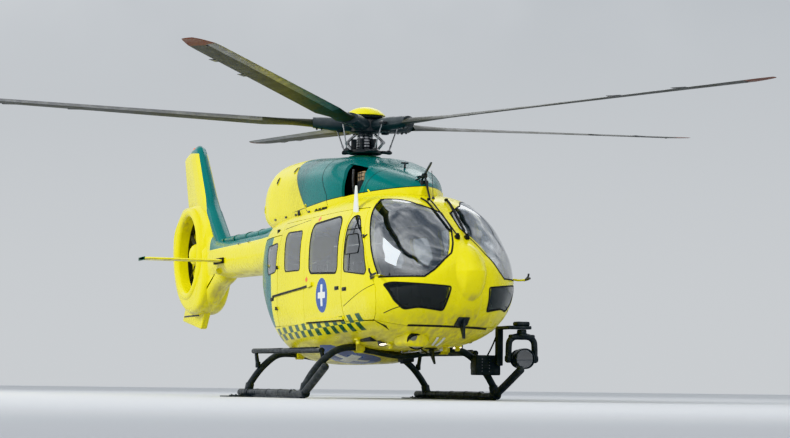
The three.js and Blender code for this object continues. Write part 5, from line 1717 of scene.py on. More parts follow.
class HELI_OT_tail(bpy.types.Operator):
    """Builds the boom, the shroud round the tail rotor, the fins and the stabilizer"""
    bl_idname = "helicopter.tail"
    bl_label = "Tail"

    def execute(self, context):
        self.boom()
        self.shroud()
        bm = bmesh.new()
        loft(bm, FIN, 48, fin_place)
        link("fin_skin", bm, "fin", replaces="tail_fin", angle=50)
        self.stabilizer()
        self.fittings()
        return {"FINISHED"}

    def boom(self):
        made = carve(solid(boom), drop=[solid(cowl, -0.001)])
        shade_as(made, [(boom(), 0)])
        link("boom_skin", made, "boom", replaces="tail_boom", keep_shading=True)
        fairing = puffed(curved(FAIRING, 6), 0.155, 0.15, 9)
        link("fairing_skin", carve(fairing, drop=[duct_hole(64)]), "boom", angle=50)
        rows = (
            (-2.85, 2.215, 0.07, 0.02), (-3.0, 2.255, 0.108, 0.062), (-4.4, 2.245, 0.102, 0.06),
            (-5.9, 2.262, 0.093, 0.056), (-6.15, 2.27, 0.06, 0.03),
        )

        def place(row, cosine, sine):
            x, z, half, high = row
            return Vector((x, half * cosine, z + high * sine))

        bm = bmesh.new()
        loft(bm, rows, 40, place)
        link("shaft_cover", bm, "boom", angle=50)
        bm = bmesh.new()
        for x in (-3.4, -4.0, -4.6, -5.2, -5.75):
            loft(bm, [(x - 0.012, 2.25, 0.106, 0.066), (x + 0.012, 2.25, 0.106, 0.066)], 40, place)
        link("shaft_cover_bands", bm, "green_film")

    def shroud(self):
        plate = puffed(curved(SHROUD_ARC, 5) + list(SHROUD_TOP), SHROUD_HALF, 0.11)
        for vert in plate.vertices:
            near = max((vert.co.z - 2.45) / 0.45, (vert.co.x + 6.75) / 0.35 if vert.co.z > 2.2 else 0, 0)
            vert.co.y *= 1 - 0.45 * min(near, 1) ** 1.5
        made = carve(plate, drop=[duct_hole(96)])
        link("shroud_skin", made, "lemon", replaces="tail_shroud", angle=50)
        half_turn = [math.pi * k / 14 for k in range(15)]
        port = [(0.645 - 0.07 * math.cos(a), 0.175 + 0.07 * math.sin(a)) for a in half_turn]
        bm = bmesh.new()
        lathe(bm, FAN, PORT, [(r, -y) for r, y in reversed(port)] + port + [(0.715, -0.175)], 96)
        link("duct_ring", bm, "lemon", angle=60)
        bm = bmesh.new()
        profile = [(FAN_DUCT - 0.001, -0.05), (0.5735, -0.045), (0.5735, 0.02), (FAN_DUCT - 0.001, 0.025)]
        lathe(bm, FAN, PORT, profile, 96)
        link("duct_band", bm, "seal")
        bm = bmesh.new()
        slab(bm, rounded(metres(VENTRAL_FIN), 0.05), "y", -0.05, 0.05, 0.022, 4, 0.9)
        link("ventral_fin", bm, "lemon", angle=40)
        bm = bmesh.new()
        for s in BOTH:
            block(bm, (-8.0, s * 0.042, 1.19), (-7.15, s * 0.054, 1.215), 0.003)
        for k in range(8):
            bolts(bm, [(-7.95 + 0.11 * k, s * 0.054, 1.2025) for s in BOTH], PORT, 0.007, 0.004)
        link("ventral_fin_strips", bm, "hub")
        bm = bmesh.new()
        rows = [(r, 0.035 + 0.01 * (r > 0.4), 0.012) for r in (0.15, 0.35, FAN_DUCT + 0.01)]

        def place(row, cosine, sine):
            reach, half, thick = row
            return Vector((reach, 0.135 + half * cosine, thick * sine * (0.4 + 0.6 * (cosine < 0.3))))

        for k in range(VANES):
            vane = bmesh.new()
            loft(vane, rows, 20, place)
            turn = Matrix.Rotation(TURN * (k + 0.3) / VANES, 4, "Y")
            merge(bm, vane, Matrix.Translation(FAN) @ turn)
        profile = [
            (0.0, 0.085), (0.155, 0.085), (0.165, 0.095), (0.165, 0.18), (0.15, 0.2), (0.09, 0.209),
            (0.0, 0.21),
        ]
        lathe(bm, FAN, PORT, profile, 48)
        link("stator", bm, "lemon")

    def stabilizer(self):
        bm = bmesh.new()
        rows = [(y, 0.33 if abs(y) > 1.35 else 0.45) for y in (-1.4, -1.33, -0.7, 0, 0.7, 1.33, 1.4)]

        def place(row, cosine, sine):
            y, chord = row
            along = 0.5 + 0.5 * cosine
            depth = 0.115 * math.sqrt(max(1 - along, 0)) * along ** 0.85 * 1.7 + 0.006
            low = 0.8 if sine < 0 else 1.0
            height = math.copysign(depth, sine) * chord * 0.62 * low * min(1, abs(sine) * 5)
            return STABILIZER + Vector(((along - 0.5) * chord, y, height))

        loft(bm, rows, 40, place)
        link("stabilizer_skin", bm, "lemon", replaces="horizontal_stabilizer", angle=50)
        bm = bmesh.new()
        for s in BOTH:
            block(bm, (-5.6, s * 1.385, 1.905), (-5.26, s * 1.4, 1.955), 0.005)
        link("stabilizer_tips", bm, "green_film")
        bm = bmesh.new()
        for s in BOTH:
            block(bm, (-5.66, s * 0.235, 1.89), (-5.2, s * 0.27, 1.975), 0.012, 3)
        link("stabilizer_clamps", bm, "seal")

    def fittings(self):
        bm = bmesh.new()
        profile = [(0.0, 0.062), (0.018, 0.058), (0.028, 0.04), (0.03, 0.0), (0.0, 0.0)]
        lathe(bm, (-7.75, 0, 3.775), UP, profile, 24)
        link("fin_beacon", bm, "orange_film")
        bm = bmesh.new()
        for s in BOTH:
            at = (-5.62, s * boom().surface_y(-5.62, 1.8), 1.8)
            profile = [(0.0, 0.05), (0.03, 0.046), (0.045, 0.03), (0.05, 0.0), (0.0, -0.05)]
            lathe(bm, at, (0, s, -0.5), profile, 24)
        link("tail_lights", bm, "lemon")
        bm = bmesh.new()
        for x, z in ((-3.9, 1.67), (-3.3, 1.68)):
            tube(bm, [(x, 0, z + 0.02), (x - 0.02, 0, z - 0.1), (x - 0.05, 0, z - 0.17)], 0.006, 4, 10)
        z = 2.12
        for x in (-4.6, -4.1):
            y = -boom().surface_y(x, z)
            path = [(x, y + 0.01, z), (x + 0.05, y - 0.02, z + 0.01), (x + 0.16, y - 0.02, z + 0.015)]
            tube(bm, path, 0.005, 4, 8)
        link("boom_aerials", bm, "hub")


class HELI_OT_tail_rotor(bpy.types.Operator):
    """Builds the ten-bladed tail rotor inside its duct"""
    bl_idname = "helicopter.tail_rotor"
    bl_label = "Tail rotor"

    def execute(self, context):
        bm = bmesh.new()
        centre = FAN + Vector((0, -0.03, 0))
        rows = (
            (0.15, 0.03, 0.01, 48), (0.25, 0.033, 0.009, 42), (0.4, 0.034, 0.007, 35),
            (FAN_BLADE, 0.034, 0.005, 28),
        )

        def place(row, cosine, sine):
            reach, half, thick, twist = row
            flat = Vector((0, thick * sine, half * cosine))
            return Vector((reach, 0, 0)) + Matrix.Rotation(math.radians(twist), 3, "X") @ flat

        for k in range(FAN_BLADES):
            one = bmesh.new()
            loft(one, rows, 20, place)
            turn = TURN * (k / FAN_BLADES + (k % 2) * 0.014)
            merge(bm, one, Matrix.Translation(centre) @ Matrix.Rotation(turn, 4, "Y"))
        link("fan_blades", bm, "fan", "tail_fan", "tail_rotor", 40)
        bm = bmesh.new()
        lathe(bm, FAN, PORT, [
            (0.0, -0.18), (0.05, -0.176), (0.1, -0.16), (0.14, -0.132), (0.165, -0.095), (0.173, -0.06),
            (0.173, 0.05), (0.165, 0.06), (0.0, 0.06),
        ], 64)
        link("fan_spinner", bm, "lemon", "tail_fan", angle=50)
        return {"FINISHED"}


# Landing gear

def cross_path(x, bend):
    """Middle line of a cross tube, from port to starboard."""
    port = [(x / 1000, y / 1000, z / 1000) for y, z in bend]
    return port + [(a, -y, z) for a, y, z in reversed(port[:-1])]


SKID_PATH = (
    (-1.15, SKID_AXIS_Z), (-0.4, SKID_AXIS_Z), (0.6, SKID_AXIS_Z), (1.28, SKID_AXIS_Z),
    (1.48, SKID_AXIS_Z + 0.07), (2.02, 0.35),
)
SNOW_PLATE = (
    (-1.12, -0.19), (-1.05, -0.28), (-0.62, -0.28), (-0.54, -0.19),
    (-0.54, 0.19), (-0.62, 0.28), (-1.05, 0.28), (-1.12, 0.19),
)


class HELI_OT_landing_gear(bpy.types.Operator):
    """Builds the skids, cross tubes, clamps, steps and snow plates"""
    bl_idname = "helicopter.landing_gear"
    bl_label = "Landing gear"

    def execute(self, context):
        for end, x, bend in CROSS_TUBES:
            bm = bmesh.new()
            tube(bm, cross_path(x, bend), TUBE_R, 8, 28)
            at = x / 1000
            foot = [(0.0, -0.012), (0.044, -0.01), (0.052, 0.0), (0.052, 0.1), (0.0, 0.1)]
            for _, s in SIDES:
                lathe(bm, (at, s * 1.15, 0.16), Vector((0, s * 0.02, -0.1)), foot, 28)
                middle = Vector((at, s * SKID_Y, SKID_AXIS_Z + 0.002))
                rod(bm, middle - Vector((0.075, 0, 0)), middle + Vector((0.075, 0, 0)), 0.0515, bevel=0.004)
                for dx in (-0.05, 0.05):
                    heads = [(at + dx, s * (SKID_Y + dy), 0.108) for dy in (-0.02, 0.02)]
                    bolts(bm, heads, UP, 0.009, 0.008)
            link(f"{end}_cross_tube", bm, "gear", replaces=f"cross_tube_{end}", angle=40)
            bm = bmesh.new()
            for y in (-0.52, 0.52):
                z = 0.575 if end == "front" else 0.52
                profile = [(0.0425, 0.0), (0.056, 0.0), (0.056, 0.09), (0.0425, 0.09), (0.0425, 0.0)]
                lathe(bm, (at, y - 0.045, z), PORT, profile, 28)
                for x in (at - 0.058, at + 0.058):
                    block(bm, (x - 0.016, y - 0.05, z - 0.03), (x + 0.016, y + 0.05, z + 0.055), 0.006)
                    bolts(bm, [(x, y + d, z - 0.03) for d in (-0.025, 0.025)], DOWN, 0.01, 0.012)
            link(f"{end}_clamps", bm, "lemon")
        for side, s in SIDES:
            self.skid(side, s)
            self.step(side, s)
        return {"FINISHED"}

    def skid(self, side, s):
        bm = bmesh.new()
        tube(bm, [(x, s * SKID_Y, z) for x, z in SKID_PATH], SKID_R, 8, 28)
        ball(bm, (2.02, s * SKID_Y, 0.35), (0.044, 0.044, 0.044), 28, 16)
        profile = [(0.0, 0.01), (0.03, 0.008), (0.0435, 0.0), (0.0, -0.01)]
        lathe(bm, (-1.152, s * SKID_Y, SKID_AXIS_Z), (-1, 0, 0), profile, 28)
        block(bm, (-1.15, s * SKID_Y - 0.03, 0.0), (1.28, s * SKID_Y + 0.03, 0.03), 0.006)
        for x in (-0.45, 0.0, 0.45, 0.9):
            profile = [(0.0442, -0.02), (0.0475, -0.018), (0.0475, 0.018), (0.0442, 0.02)]
            lathe(bm, (x, s * SKID_Y, SKID_AXIS_Z), AHEAD, profile, 28)
        link(f"skid_{side}_tube", bm, "gear", replaces=f"skid_{side}", angle=40)
        bm = bmesh.new()
        middle = s * (SKID_Y + 0.02)
        outline = [(x, y + middle) for x, y in rounded(SNOW_PLATE, 0.03)]
        slab(bm, outline, "z", 0.0, 0.014, 0.004, 2, 0.9)
        for x in (-1.03, -0.63):
            block(bm, (x - 0.02, middle - 0.16, 0.013), (x + 0.02, middle + 0.16, 0.024), 0.004)
            bolts(bm, [(x, middle + dy, 0.024) for dy in (-0.13, -0.075, 0.075, 0.13)], UP, 0.01, 0.009)
        link(f"snow_plate_{side}", bm, "gear", angle=40)

    def step(self, side, s):
        path = [(-0.9, 1.085, 0.56), (0.2, 1.01, 0.552), (1.25, 0.945, 0.545)]
        bm = bmesh.new()
        tube(bm, [(x, s * y, z) for x, y, z in path], 0.034, 8, 24, 0.92)
        for x, y in ((-0.83, 1.08), (1.24, 0.945)):
            rod(bm, (x, s * y, 0.552), (x, s * (y - 0.03), 0.36), 0.022, 0.026, bevel=0.003)
            rod(bm, (x, s * (y - 0.027), 0.43), (x, s * (y - 0.027), 0.36), 0.031, bevel=0.003)
        link(f"step_{side}_rail", bm, "gear", replaces=f"step_{side}", angle=40)
        bm = bmesh.new()
        for x0, x1 in ((-0.72, 0.05), (0.3, 1.12)):
            along = [x0 + (x1 - x0) * k / 8 for k in range(9)]
            tube(bm, [(x, s * (1.085 - (x + 0.9) * 0.0655), 0.567) for x in along], 0.026, 2, 16, 0.75)
        link(f"step_{side}_grip", bm, "tread", angle=50)


LAMP = Vector((1.78, 1.29, 0.48))


class HELI_OT_searchlight(bpy.types.Operator):
    """Builds the searchlight, its yoke and the crate that carries it"""
    bl_idname = "helicopter.searchlight"
    bl_label = "Searchlight"

    def execute(self, context):
        self.mount()
        self.yoke()
        self.lamp()
        return {"FINISHED"}

    def mount(self):
        crate = block_mesh((1.3, 0.86, 0.29), (1.475, 1.165, 0.52), 0.012, 3)
        clear = bmesh.new()
        tube(clear, cross_path(*CROSS_TUBES[0][1:]), TUBE_R + 0.0005, 8, 28)
        bm = bmesh.new()
        bm.from_mesh(carve(crate, drop=[to_mesh(clear)]))
        top = LAMP.z + 0.375
        block(bm, (1.474, 1.09, 0.4), (1.545, 1.165, top), 0.01, 3)
        block(bm, (1.475, 1.092, top - 0.04), (1.84, 1.163, top - 0.001), 0.008, 3)
        block(bm, (1.7, 1.09, top - 0.039), (1.86, 1.38, top), 0.01, 3)
        block(bm, (1.72, 1.2, top - 0.002), (1.84, 1.37, top + 0.05), 0.02, 4)
        for k in range(6):
            z = 0.315 + 0.034 * k
            block(bm, (1.472, 0.88, z), (1.479, 1.07, z + 0.016), 0.003)
        bolts(bm, [(1.4755, y, z) for y in (0.875, 1.08) for z in (0.305, 0.505)], AHEAD, 0.008, 0.006)
        tube(bm, [(1.5, 1.1, 0.75), (1.46, 1.06, 0.62), (1.42, 1.02, 0.515)], 0.009, 6, 12)
        link("searchlight_crate", bm, "gear", replaces="searchlight_mount", angle=40)
        bm = bmesh.new()
        for column_y in (0.93, 1.02):
            for k in range(5):
                z = 0.335 + 0.035 * k
                rod(bm, (1.478, column_y, z), (1.483, column_y, z), 0.0055, segments=16)
        link("crate_studs", bm, "steel")

    def yoke(self):
        x, y, z = LAMP
        bridge_z = z + 0.235
        bm = bmesh.new()
        lathe(bm, (x, y, bridge_z), UP, [
            (0.0, 0.02), (0.075, 0.02), (0.078, 0.03), (0.07, 0.05), (0.055, 0.06), (0.055, 0.085),
            (0.048, 0.0965), (0.0, 0.0965),
        ], 40)
        block(bm, (x - 0.05, y - 0.15, bridge_z - 0.01), (x + 0.05, y + 0.15, bridge_z + 0.042), 0.018, 4)
        arch = [
            (y - 0.162, z - 0.03), (y - 0.162, z + 0.12), (y - 0.15, z + 0.2), (y - 0.1, z + 0.245),
            (y, z + 0.252),
        ]
        arch += [(2 * y - a, b) for a, b in reversed(arch[:-1])]
        tube(bm, [(x, a, b) for a, b in arch], 0.036, 6, 20)
        for s in BOTH:
            arm = y + s * 0.162
            block(bm, (x - 0.046, arm - 0.017, z - 0.048), (x + 0.046, arm + 0.017, z + 0.1), 0.014, 4)
            rod(bm, (x, y + s * 0.174, z), (x, y + s * 0.196, z), 0.048, 0.04, segments=32, bevel=0.004)
            turns = (0.8, 2.35, 3.9, 5.5)
            heads = [(x + 0.03 * math.cos(a), y + s * 0.195, z + 0.03 * math.sin(a)) for a in turns]
            bolts(bm, heads, (0, s, 0), 0.006, 0.004)
        link("searchlight_yoke_frame", bm, "gear", "searchlight_yoke_body", "searchlight_yoke", 40)

    def lamp(self):
        x, y, z = LAMP
        bm = bmesh.new()
        lathe(bm, LAMP, AHEAD, [
            (0.0, -0.112), (0.06, -0.112), (0.085, -0.105), (0.098, -0.085), (0.1, -0.02), (0.112, 0.0),
            (0.118, 0.02), (0.118, 0.112), (0.108, 0.112), (0.106, 0.085), (0.0, 0.085),
        ], 64)
        for k in range(6):
            at = 0.013 * k
            fin = [(0.099, -0.088 + at), (0.108, -0.086 + at), (0.108, -0.082 + at), (0.099, -0.08 + at)]
            lathe(bm, LAMP, AHEAD, fin, 56)
        rod(bm, (x, y - 0.144, z), (x, y + 0.144, z), 0.027, bevel=0.003)
        link("searchlight_drum", bm, "gear", "searchlight_lamp_body", "searchlight_lamp", 40)
        bm = bmesh.new()
        profile = [(0.0, 0.104), (0.05, 0.103), (0.104, 0.098), (0.106, 0.092), (0.0, 0.09)]
        lathe(bm, LAMP, AHEAD, profile, 56)
        link("searchlight_lens", bm, "screen", "searchlight_lamp_body")


# Struts of the upper cutter: x, z of each end, and the radius
UPPER_CUTTER = (
    (((1.56, 2.52), (1.96, 2.51)), 0.01), (((1.96, 2.51), (2.15, 2.19)), 0.012),
    (((1.93, 2.51), (1.79, 2.4)), 0.01),
)
# Centre of the lens under the nose
LENS = Vector((2.63, -0.34, 0.645))


class HELI_OT_fittings(bpy.types.Operator):
    """Builds the cutters, probes, aerials, wipers, lamps and belly fittings"""
    bl_idname = "helicopter.fittings"
    bl_label = "Fittings"

    def execute(self, context):
        self.cutters()
        self.probes()
        self.wipers()
        self.aerials()
        self.lamps()
        self.belly()
        return {"FINISHED"}

    def cutters(self):
        bm = bmesh.new()
        for points, radius in UPPER_CUTTER:
            tube(bm, [(x, 0, z) for x, z in points], radius, 3, 12)
        outline = [(1.9, 2.465), (2.15, 2.615), (2.175, 2.64), (2.14, 2.645), (1.89, 2.5)]
        slab(bm, outline, "y", -0.006, 0.006, 0.002)
        for s in BOTH:
            tube(bm, [(1.95, 0, 2.51), (1.85, s * 0.07, 2.46), (1.76, s * 0.12, 2.43)], 0.009, 3, 10)
        rod(bm, (1.955, -0.028, 2.508), (1.955, 0.028, 2.508), 0.026, bevel=0.004)
        block(bm, (1.73, -0.045, 2.39), (1.97, 0.045, 2.455), 0.01)
        bolts(bm, [(x, y, 2.455) for x in (1.76, 1.94) for y in (-0.03, 0.03)], UP, 0.008, 0.008)
        link("upper_cutter", bm, "gear", replaces="wire_cutter_upper")
        bm = bmesh.new()
        base = pod().surface_z(2.2, 0)
        outline = [(2.15, base + 0.01), (2.25, base + 0.01), (2.33, 0.4), (2.31, 0.395), (2.19, 0.5)]
        slab(bm, outline, "y", -0.01, 0.01, 0.003)
        profile = [(0.0, 0.018), (0.05, 0.016), (0.075, 0.004), (0.075, -0.01), (0.0, -0.01)]
        lathe(bm, (2.2, 0, base), DOWN, profile, 32)
        for s in BOTH:
            tube(bm, [(2.26, 0, 0.48), (2.16, s * 0.05, 0.53), (2.08, s * 0.08, base)], 0.008, 4, 10)
        link("lower_cutter", bm, "gear", replaces="wire_cutter_lower")
        bm = bmesh.new()
        for s in BOTH:
            path = [(3.1, s * 0.035, 0.9), (3.19, s * 0.05, 0.96), (3.235, s * 0.06, 1.02)]
            tube(bm, path, 0.017, 4, 12)
        body = [(2.98, 0.79), (3.08, 0.8), (3.16, 0.885), (3.12, 0.94), (3.0, 0.9)]
        slab(bm, body, "y", -0.07, 0.07, 0.02, 3)
        slab(bm, [(3.04, 0.8), (3.12, 0.66), (3.15, 0.66), (3.15, 0.87)], "y", -0.012, 0.012, 0.003)
        link("nose_deflector", bm, "gear")

    def probes(self):
        """A mast on each side of the nose, whose black tip turns up and ahead."""
        for side, s in SIDES:
            foot = Vector((2.62, s * (pod().surface_y(2.62, 1.34) - 0.02), 1.34))
            knee = Vector((2.72, s * 0.9, 1.33))
            bm = bmesh.new()
            tube(bm, [foot, (foot + knee) / 2 + Vector((0.03, 0, -0.01)), knee], 0.019, 6, 16, 0.6)
            link(f"probe_mast_{side}", bm, "lemon", angle=50)
            bm = bmesh.new()
            tip = knee + Vector((0.12, 0, 0.012))
            tube(bm, [knee - Vector((0.03, 0, 0.002)), knee + Vector((0.05, 0, 0.003)), tip], 0.0125, 3, 12)
            turned = [knee, knee + Vector((0.01, s * 0.03, 0.035)), knee + Vector((0.015, s * 0.035, 0.07))]
            tube(bm, turned, 0.011, 3, 12)
            link(f"probe_tube_{side}", bm, "hub")

    def wipers(self):
        """Both bases stand at the foot of the centre post and the arms run up it."""
        for side, s in SIDES:
            bm = bmesh.new()
            start = Vector((3.06, 0.055 * s, 0))
            start.z = pod().surface_z(start.x, start.y, True) + 0.012
            block(bm, start - Vector((0.035, 0.022, 0.02)), start + Vector((0.03, 0.022, 0.028)), 0.008, 3)
            lathe(bm, start, (0.5, 0, 1), [(0.0, 0.052), (0.014, 0.048), (0.018, 0.0), (0.0, -0.01)], 20)
            arm = []
            rubber = []
            for k in range(7):
                x = 3.04 - 0.115 * k
                y = s * (0.055 + 0.008 * k)
                arm.append((x, y, pod().surface_z(x, y, True) + 0.034))
                x, y = x - 0.12, s * (0.088 + 0.01 * k)
                rubber.append((x, y, pod().surface_z(x, y, True) + 0.01))
            tube(bm, arm, 0.0085, 3, 10)
            tube(bm, rubber, 0.0095, 3, 8)
            tip = Vector(arm[-1])
            block(bm, tip - Vector((0.03, 0.012, 0.022)), tip + Vector((0.03, 0.012, 0.01)), 0.005)
            link(f"wiper_{side}", bm, "seal")

    def aerials(self):
        bm = bmesh.new()
        foot = pod().surface_z(1.7, 0.72, True)
        outline = [(1.62, foot - 0.02), (1.79, foot - 0.02), (1.72, 2.385), (1.685, 2.39)]
        slab(bm, outline, "y", -0.73, -0.714, 0.005)
        link("blade_aerial", bm, "white_film")
        bm = bmesh.new()
        z = cowl().surface_z(1.34, 0.0, True)
        rod(bm, (1.34, 0, z - 0.01), (1.34, 0, z + 0.07), 0.012, bevel=0.002)
        rod(bm, (1.34, -0.045, z + 0.062), (1.34, 0.045, z + 0.062), 0.01, bevel=0.003)
        link("cowl_aerial", bm, "hub")
        bm = bmesh.new()
        z = pod().surface_z(2.22, 0.0, True)
        lathe(bm, (2.22, 0, z), UP, [(0.0, 0.03), (0.014, 0.026), (0.02, 0.0), (0.0, -0.01)], 20)
        tube(bm, [(2.22, 0, z + 0.02), (2.2, 0, z + 0.16), (2.17, 0, z + 0.32)], 0.0035, 4, 8)
        link("whip_aerial", bm, "hub")
        bm = bmesh.new()
        for s in BOTH:
            for x in (0.18, 0.3, 0.42, 0.52):
                y = pod().surface_y(x, 2.22) * s
                block(bm, (x, y - 0.012, 2.195), (x + 0.05, y + 0.01, 2.24), 0.006)
            z = 2.215
            bends = ((0.15, 0), (0.36, 0.01), (0.6, 0))
            tube(bm, [(x, s * (pod().surface_y(x, z) + out), z) for x, out in bends], 0.007, 4, 10)
        link("roof_edge_fittings", bm, "seal")

    def lamps(self):
        glow = bmesh.new()
        rims = bmesh.new()
        for x, y, radius in ((1.26, -0.27, 0.062), (1.92, 0.43, 0.055), (1.96, -0.48, 0.045)):
            z = pod().surface_z(x, y)
            out = Vector((0.35, 0, -1)).normalized()
            at = Vector((x, y, z + 0.012))
            rim = radius + 0.012
            profile = [(radius, -0.03), (radius, 0.036), (radius + 0.008, 0.038), (rim, 0.0), (rim, -0.03)]
            lathe(rims, at, out, profile, 32)
            profile = [(0.0, 0.034), (radius * 0.7, 0.031), (radius, 0.022), (radius, 0.0), (0.0, 0.0)]
            lathe(glow, at, out, profile, 32)
        link("landing_lamp_rims", rims, "hub")
        link("landing_lamps", glow, "lamp")
        bm = bmesh.new()
        outline = [(2.22, -0.42), (2.34, -0.5), (2.64, -0.45), (2.75, -0.3), (2.66, -0.19), (2.28, -0.21)]
        slab(bm, rounded(outline, 0.07), "z", 0.575, 0.8, 0.06, 6, 0.9)
        made = carve(to_mesh(bm), drop=[solid(pod, 0.01)])
        link("lens_fairing", made, "lemon", angle=50)
        ahead = (0.9, -0.3, -0.75)
        bm = bmesh.new()
        profile = [(0.0, 0.062), (0.05, 0.056), (0.085, 0.034), (0.092, 0.0), (0.0, -0.01)]
        lathe(bm, LENS, ahead, profile, 40)
        link("lens_glass", bm, "screen")
        bm = bmesh.new()
        lathe(bm, LENS, ahead, [(0.091, -0.01), (0.091, 0.034), (0.104, 0.032), (0.11, -0.01)], 40)
        link("lens_rim", bm, "seal")

    def belly(self):
        bm = bmesh.new()
        z = pod().surface_z(1.11, 0.12)
        block(bm, (1.02, 0.06, z - 0.11), (1.2, 0.2, z + 0.02), 0.012, 3)
        block(bm, (1.05, 0.08, z - 0.13), (1.16, 0.18, z - 0.1), 0.008, 3)
        link("belly_box", bm, "plastic")
        bm = bmesh.new()
        start, end = 1.45, 2.05
        along = [start + (end - start) * k / 5 for k in range(6)]
        for y in (0.18, -0.05):
            points = [(x, y, pod().surface_z(x, y) - 0.018) for x in along]
            tube(bm, points, 0.011, 3, 10)
            for x, _, z in (points[0], points[2], points[5]):
                block(bm, (x - 0.015, y - 0.018, z - 0.006), (x + 0.015, y + 0.018, z + 0.03), 0.004)
        link("belly_pipes", bm, "steel")
        bm = bmesh.new()
        for x, y in ((2.05, -0.42), (2.1, 0.36), (1.02, -0.55), (1.55, -0.62), (2.38, 0.1)):
            z = pod().surface_z(x, y)
            block(bm, (x - 0.05, y - 0.012, z - 0.055), (x + 0.05, y + 0.012, z + 0.02), 0.01, 3)
            block(bm, (x - 0.06, y - 0.03, z - 0.008), (x + 0.06, y + 0.03, z + 0.01), 0.004)
        link("belly_lugs", bm, "lemon")
        bm = bmesh.new()
        for y in (-0.145, -0.07):
            prong = [(x, y * (x - 2.0) / 0.75, pod().surface_z(x, y) - 0.01) for x in (2.48, 2.62, 2.76)]
            tube(bm, prong, 0.014, 4, 12, 0.7)
        link("nose_prongs", bm, "white_film")
        for side, s in SIDES:
            mark = [(2.36, 0.87), (2.5, 0.8), (2.47, 0.755), (2.455, 0.795)]
            film(f"nose_vent_{side}", prism_mesh(mark, "y", s * 0.35, s * BEYOND), "seal", 0.003)


class HELI_OT_interior(bpy.types.Operator):
    """Builds the seats, the instrument panel and the centre console"""
    bl_idname = "helicopter.interior"
    bl_label = "Interior"

    def execute(self, context):
        for side, s in SIDES:
            self.seat(f"pilot_{side}", 1.5, 0.4 * s, 0.24, 1.64, f"pilot_seat_{side}")
        for k, y in enumerate((-0.47, 0.0, 0.47)):
            self.seat(f"cabin_{k + 1}", 0.42, y, 0.225, 1.66, "cabin_seats" if k == 1 else None)
        self.load_floor()
        self.panel()
        return {"FINISHED"}

    def load_floor(self):
        bm = bmesh.new()
        plate = rounded([(-1.05, -0.45), (0.3, -0.45), (0.3, 0.45), (-1.05, 0.45)], 0.06)
        slab(bm, plate, "z", FLOOR_Z + 0.0005, FLOOR_Z + 0.01, 0.003)
        link("load_floor", bm, "tread")
        bm = bmesh.new()
        for y in (-0.33, -0.11, 0.11, 0.33):
            block(bm, (-1.0, y - 0.014, FLOOR_Z + 0.006), (0.25, y + 0.014, FLOOR_Z + 0.018), 0.003)
        link("cargo_rails", bm, "steel")

    def seat(self, name, x, y, half, top, node):
        def cushion(bm, low, high, crown, axis):
            verts = bmesh.ops.create_cube(bm, size=1.0)["verts"]
            bmesh.ops.subdivide_edges(bm, edges=edges_of(verts), cuts=5, use_grid_fill=True)
            low, high = Vector(low), Vector(high)
            for vert in bm.verts:
                share = [vert.co[i] * 2 for i in range(3)]
                swell = 1.0
                for i in range(3):
                    if i != axis:
                        swell *= 1 - abs(share[i]) ** 3
                for i in range(3):
                    vert.co[i] = (low[i] + high[i]) / 2 + vert.co[i] * (high[i] - low[i])
                if abs(share[axis]) > 0.9:
                    vert.co[axis] += math.copysign(crown * swell, share[axis])
            soften(bm, bm.verts, 0.022, 3, 1.0)

        bm = bmesh.new()
        cushion(bm, (x + 0.1, y - half, FLOOR_Z + 0.27), (x + 0.46, y + half, FLOOR_Z + 0.37), 0.012, 2)
        pad = link(f"{name}_cushion", bm, "fabric", angle=60)
        lean = Matrix.Translation((x + 0.04, 0, FLOOR_Z + 0.36)) @ Matrix.Rotation(-0.14, 4, "Y")
        bm = bmesh.new()
        height = top - FLOOR_Z - 0.4
        cushion(bm, (-0.045, y - half * 0.96, 0.03), (0.045, y + half * 0.96, height - 0.2), 0.012, 0)
        bm.transform(lean)
        pad = link(f"{name}_back", bm, "fabric", angle=60)
        bm = bmesh.new()
        cushion(bm, (-0.04, y - half * 0.55, height - 0.185), (0.035, y + half * 0.55, height), 0.01, 0)
        bm.transform(lean)
        pad = link(f"{name}_headrest", bm, "fabric", angle=60)
        bm = bmesh.new()
        base = half * 0.9
        block(bm, (x, y - base, FLOOR_Z + 0.0005), (x + 0.44, y + base, FLOOR_Z + 0.26), 0.02, 3)
        back = bmesh.new()
        block(back, (-0.075, y - half, -0.1), (-0.05, y + half, height - 0.04), 0.012, 3)
        merge(bm, back, lean)
        link(f"{name}_seat_shell", bm, "plastic", replaces=node or ())

    def panel(self):
        bm = bmesh.new()
        hood = [(2.34, 1.15), (2.36, 1.25), (2.42, 1.335), (2.56, 1.335), (2.6, 1.2), (2.58, 1.1)]
        slab(bm, hood, "y", -0.3, 0.3, 0.015, 3)
        outline = [(2.36, FLOOR_Z + 0.001), (2.4, 1.16), (2.58, 1.16), (2.62, FLOOR_Z + 0.001)]
        slab(bm, outline, "y", -0.16, 0.16, 0.015, 3)
        link("instrument_hood", bm, "plastic", replaces="instrument_panel")
        bm = bmesh.new()
        for _, s in SIDES:
            path = [(2.72, 0.2 * s, 1.36), (2.66, 0.36 * s, 1.38), (2.5, 0.5 * s, 1.36)]
            tube(bm, path, 0.03, 5, 14, 0.6)
        link("glare_shield_edge", bm, "seal")
        bm = bmesh.new()
        for y in (-0.2, 0.0, 0.2):
            block(bm, (2.335, y - 0.085, 1.17), (2.352, y + 0.085, 1.29), 0.006)
        link("instrument_screens", bm, "screen")
        x = 1.98
        for k, y in enumerate((-0.4, 0.4)):
            bm = bmesh.new()
            path = [(x, y, FLOOR_Z), (x + 0.03, y, 0.8), (x, y, 0.98), (x - 0.03, y, 1.08)]
            tube(bm, path, 0.014, 5, 12)
            ball(bm, (x - 0.035, y, 1.1), (0.022, 0.02, 0.045), 16, 12)
            link(f"cyclic_{k + 1}", bm, "plastic")


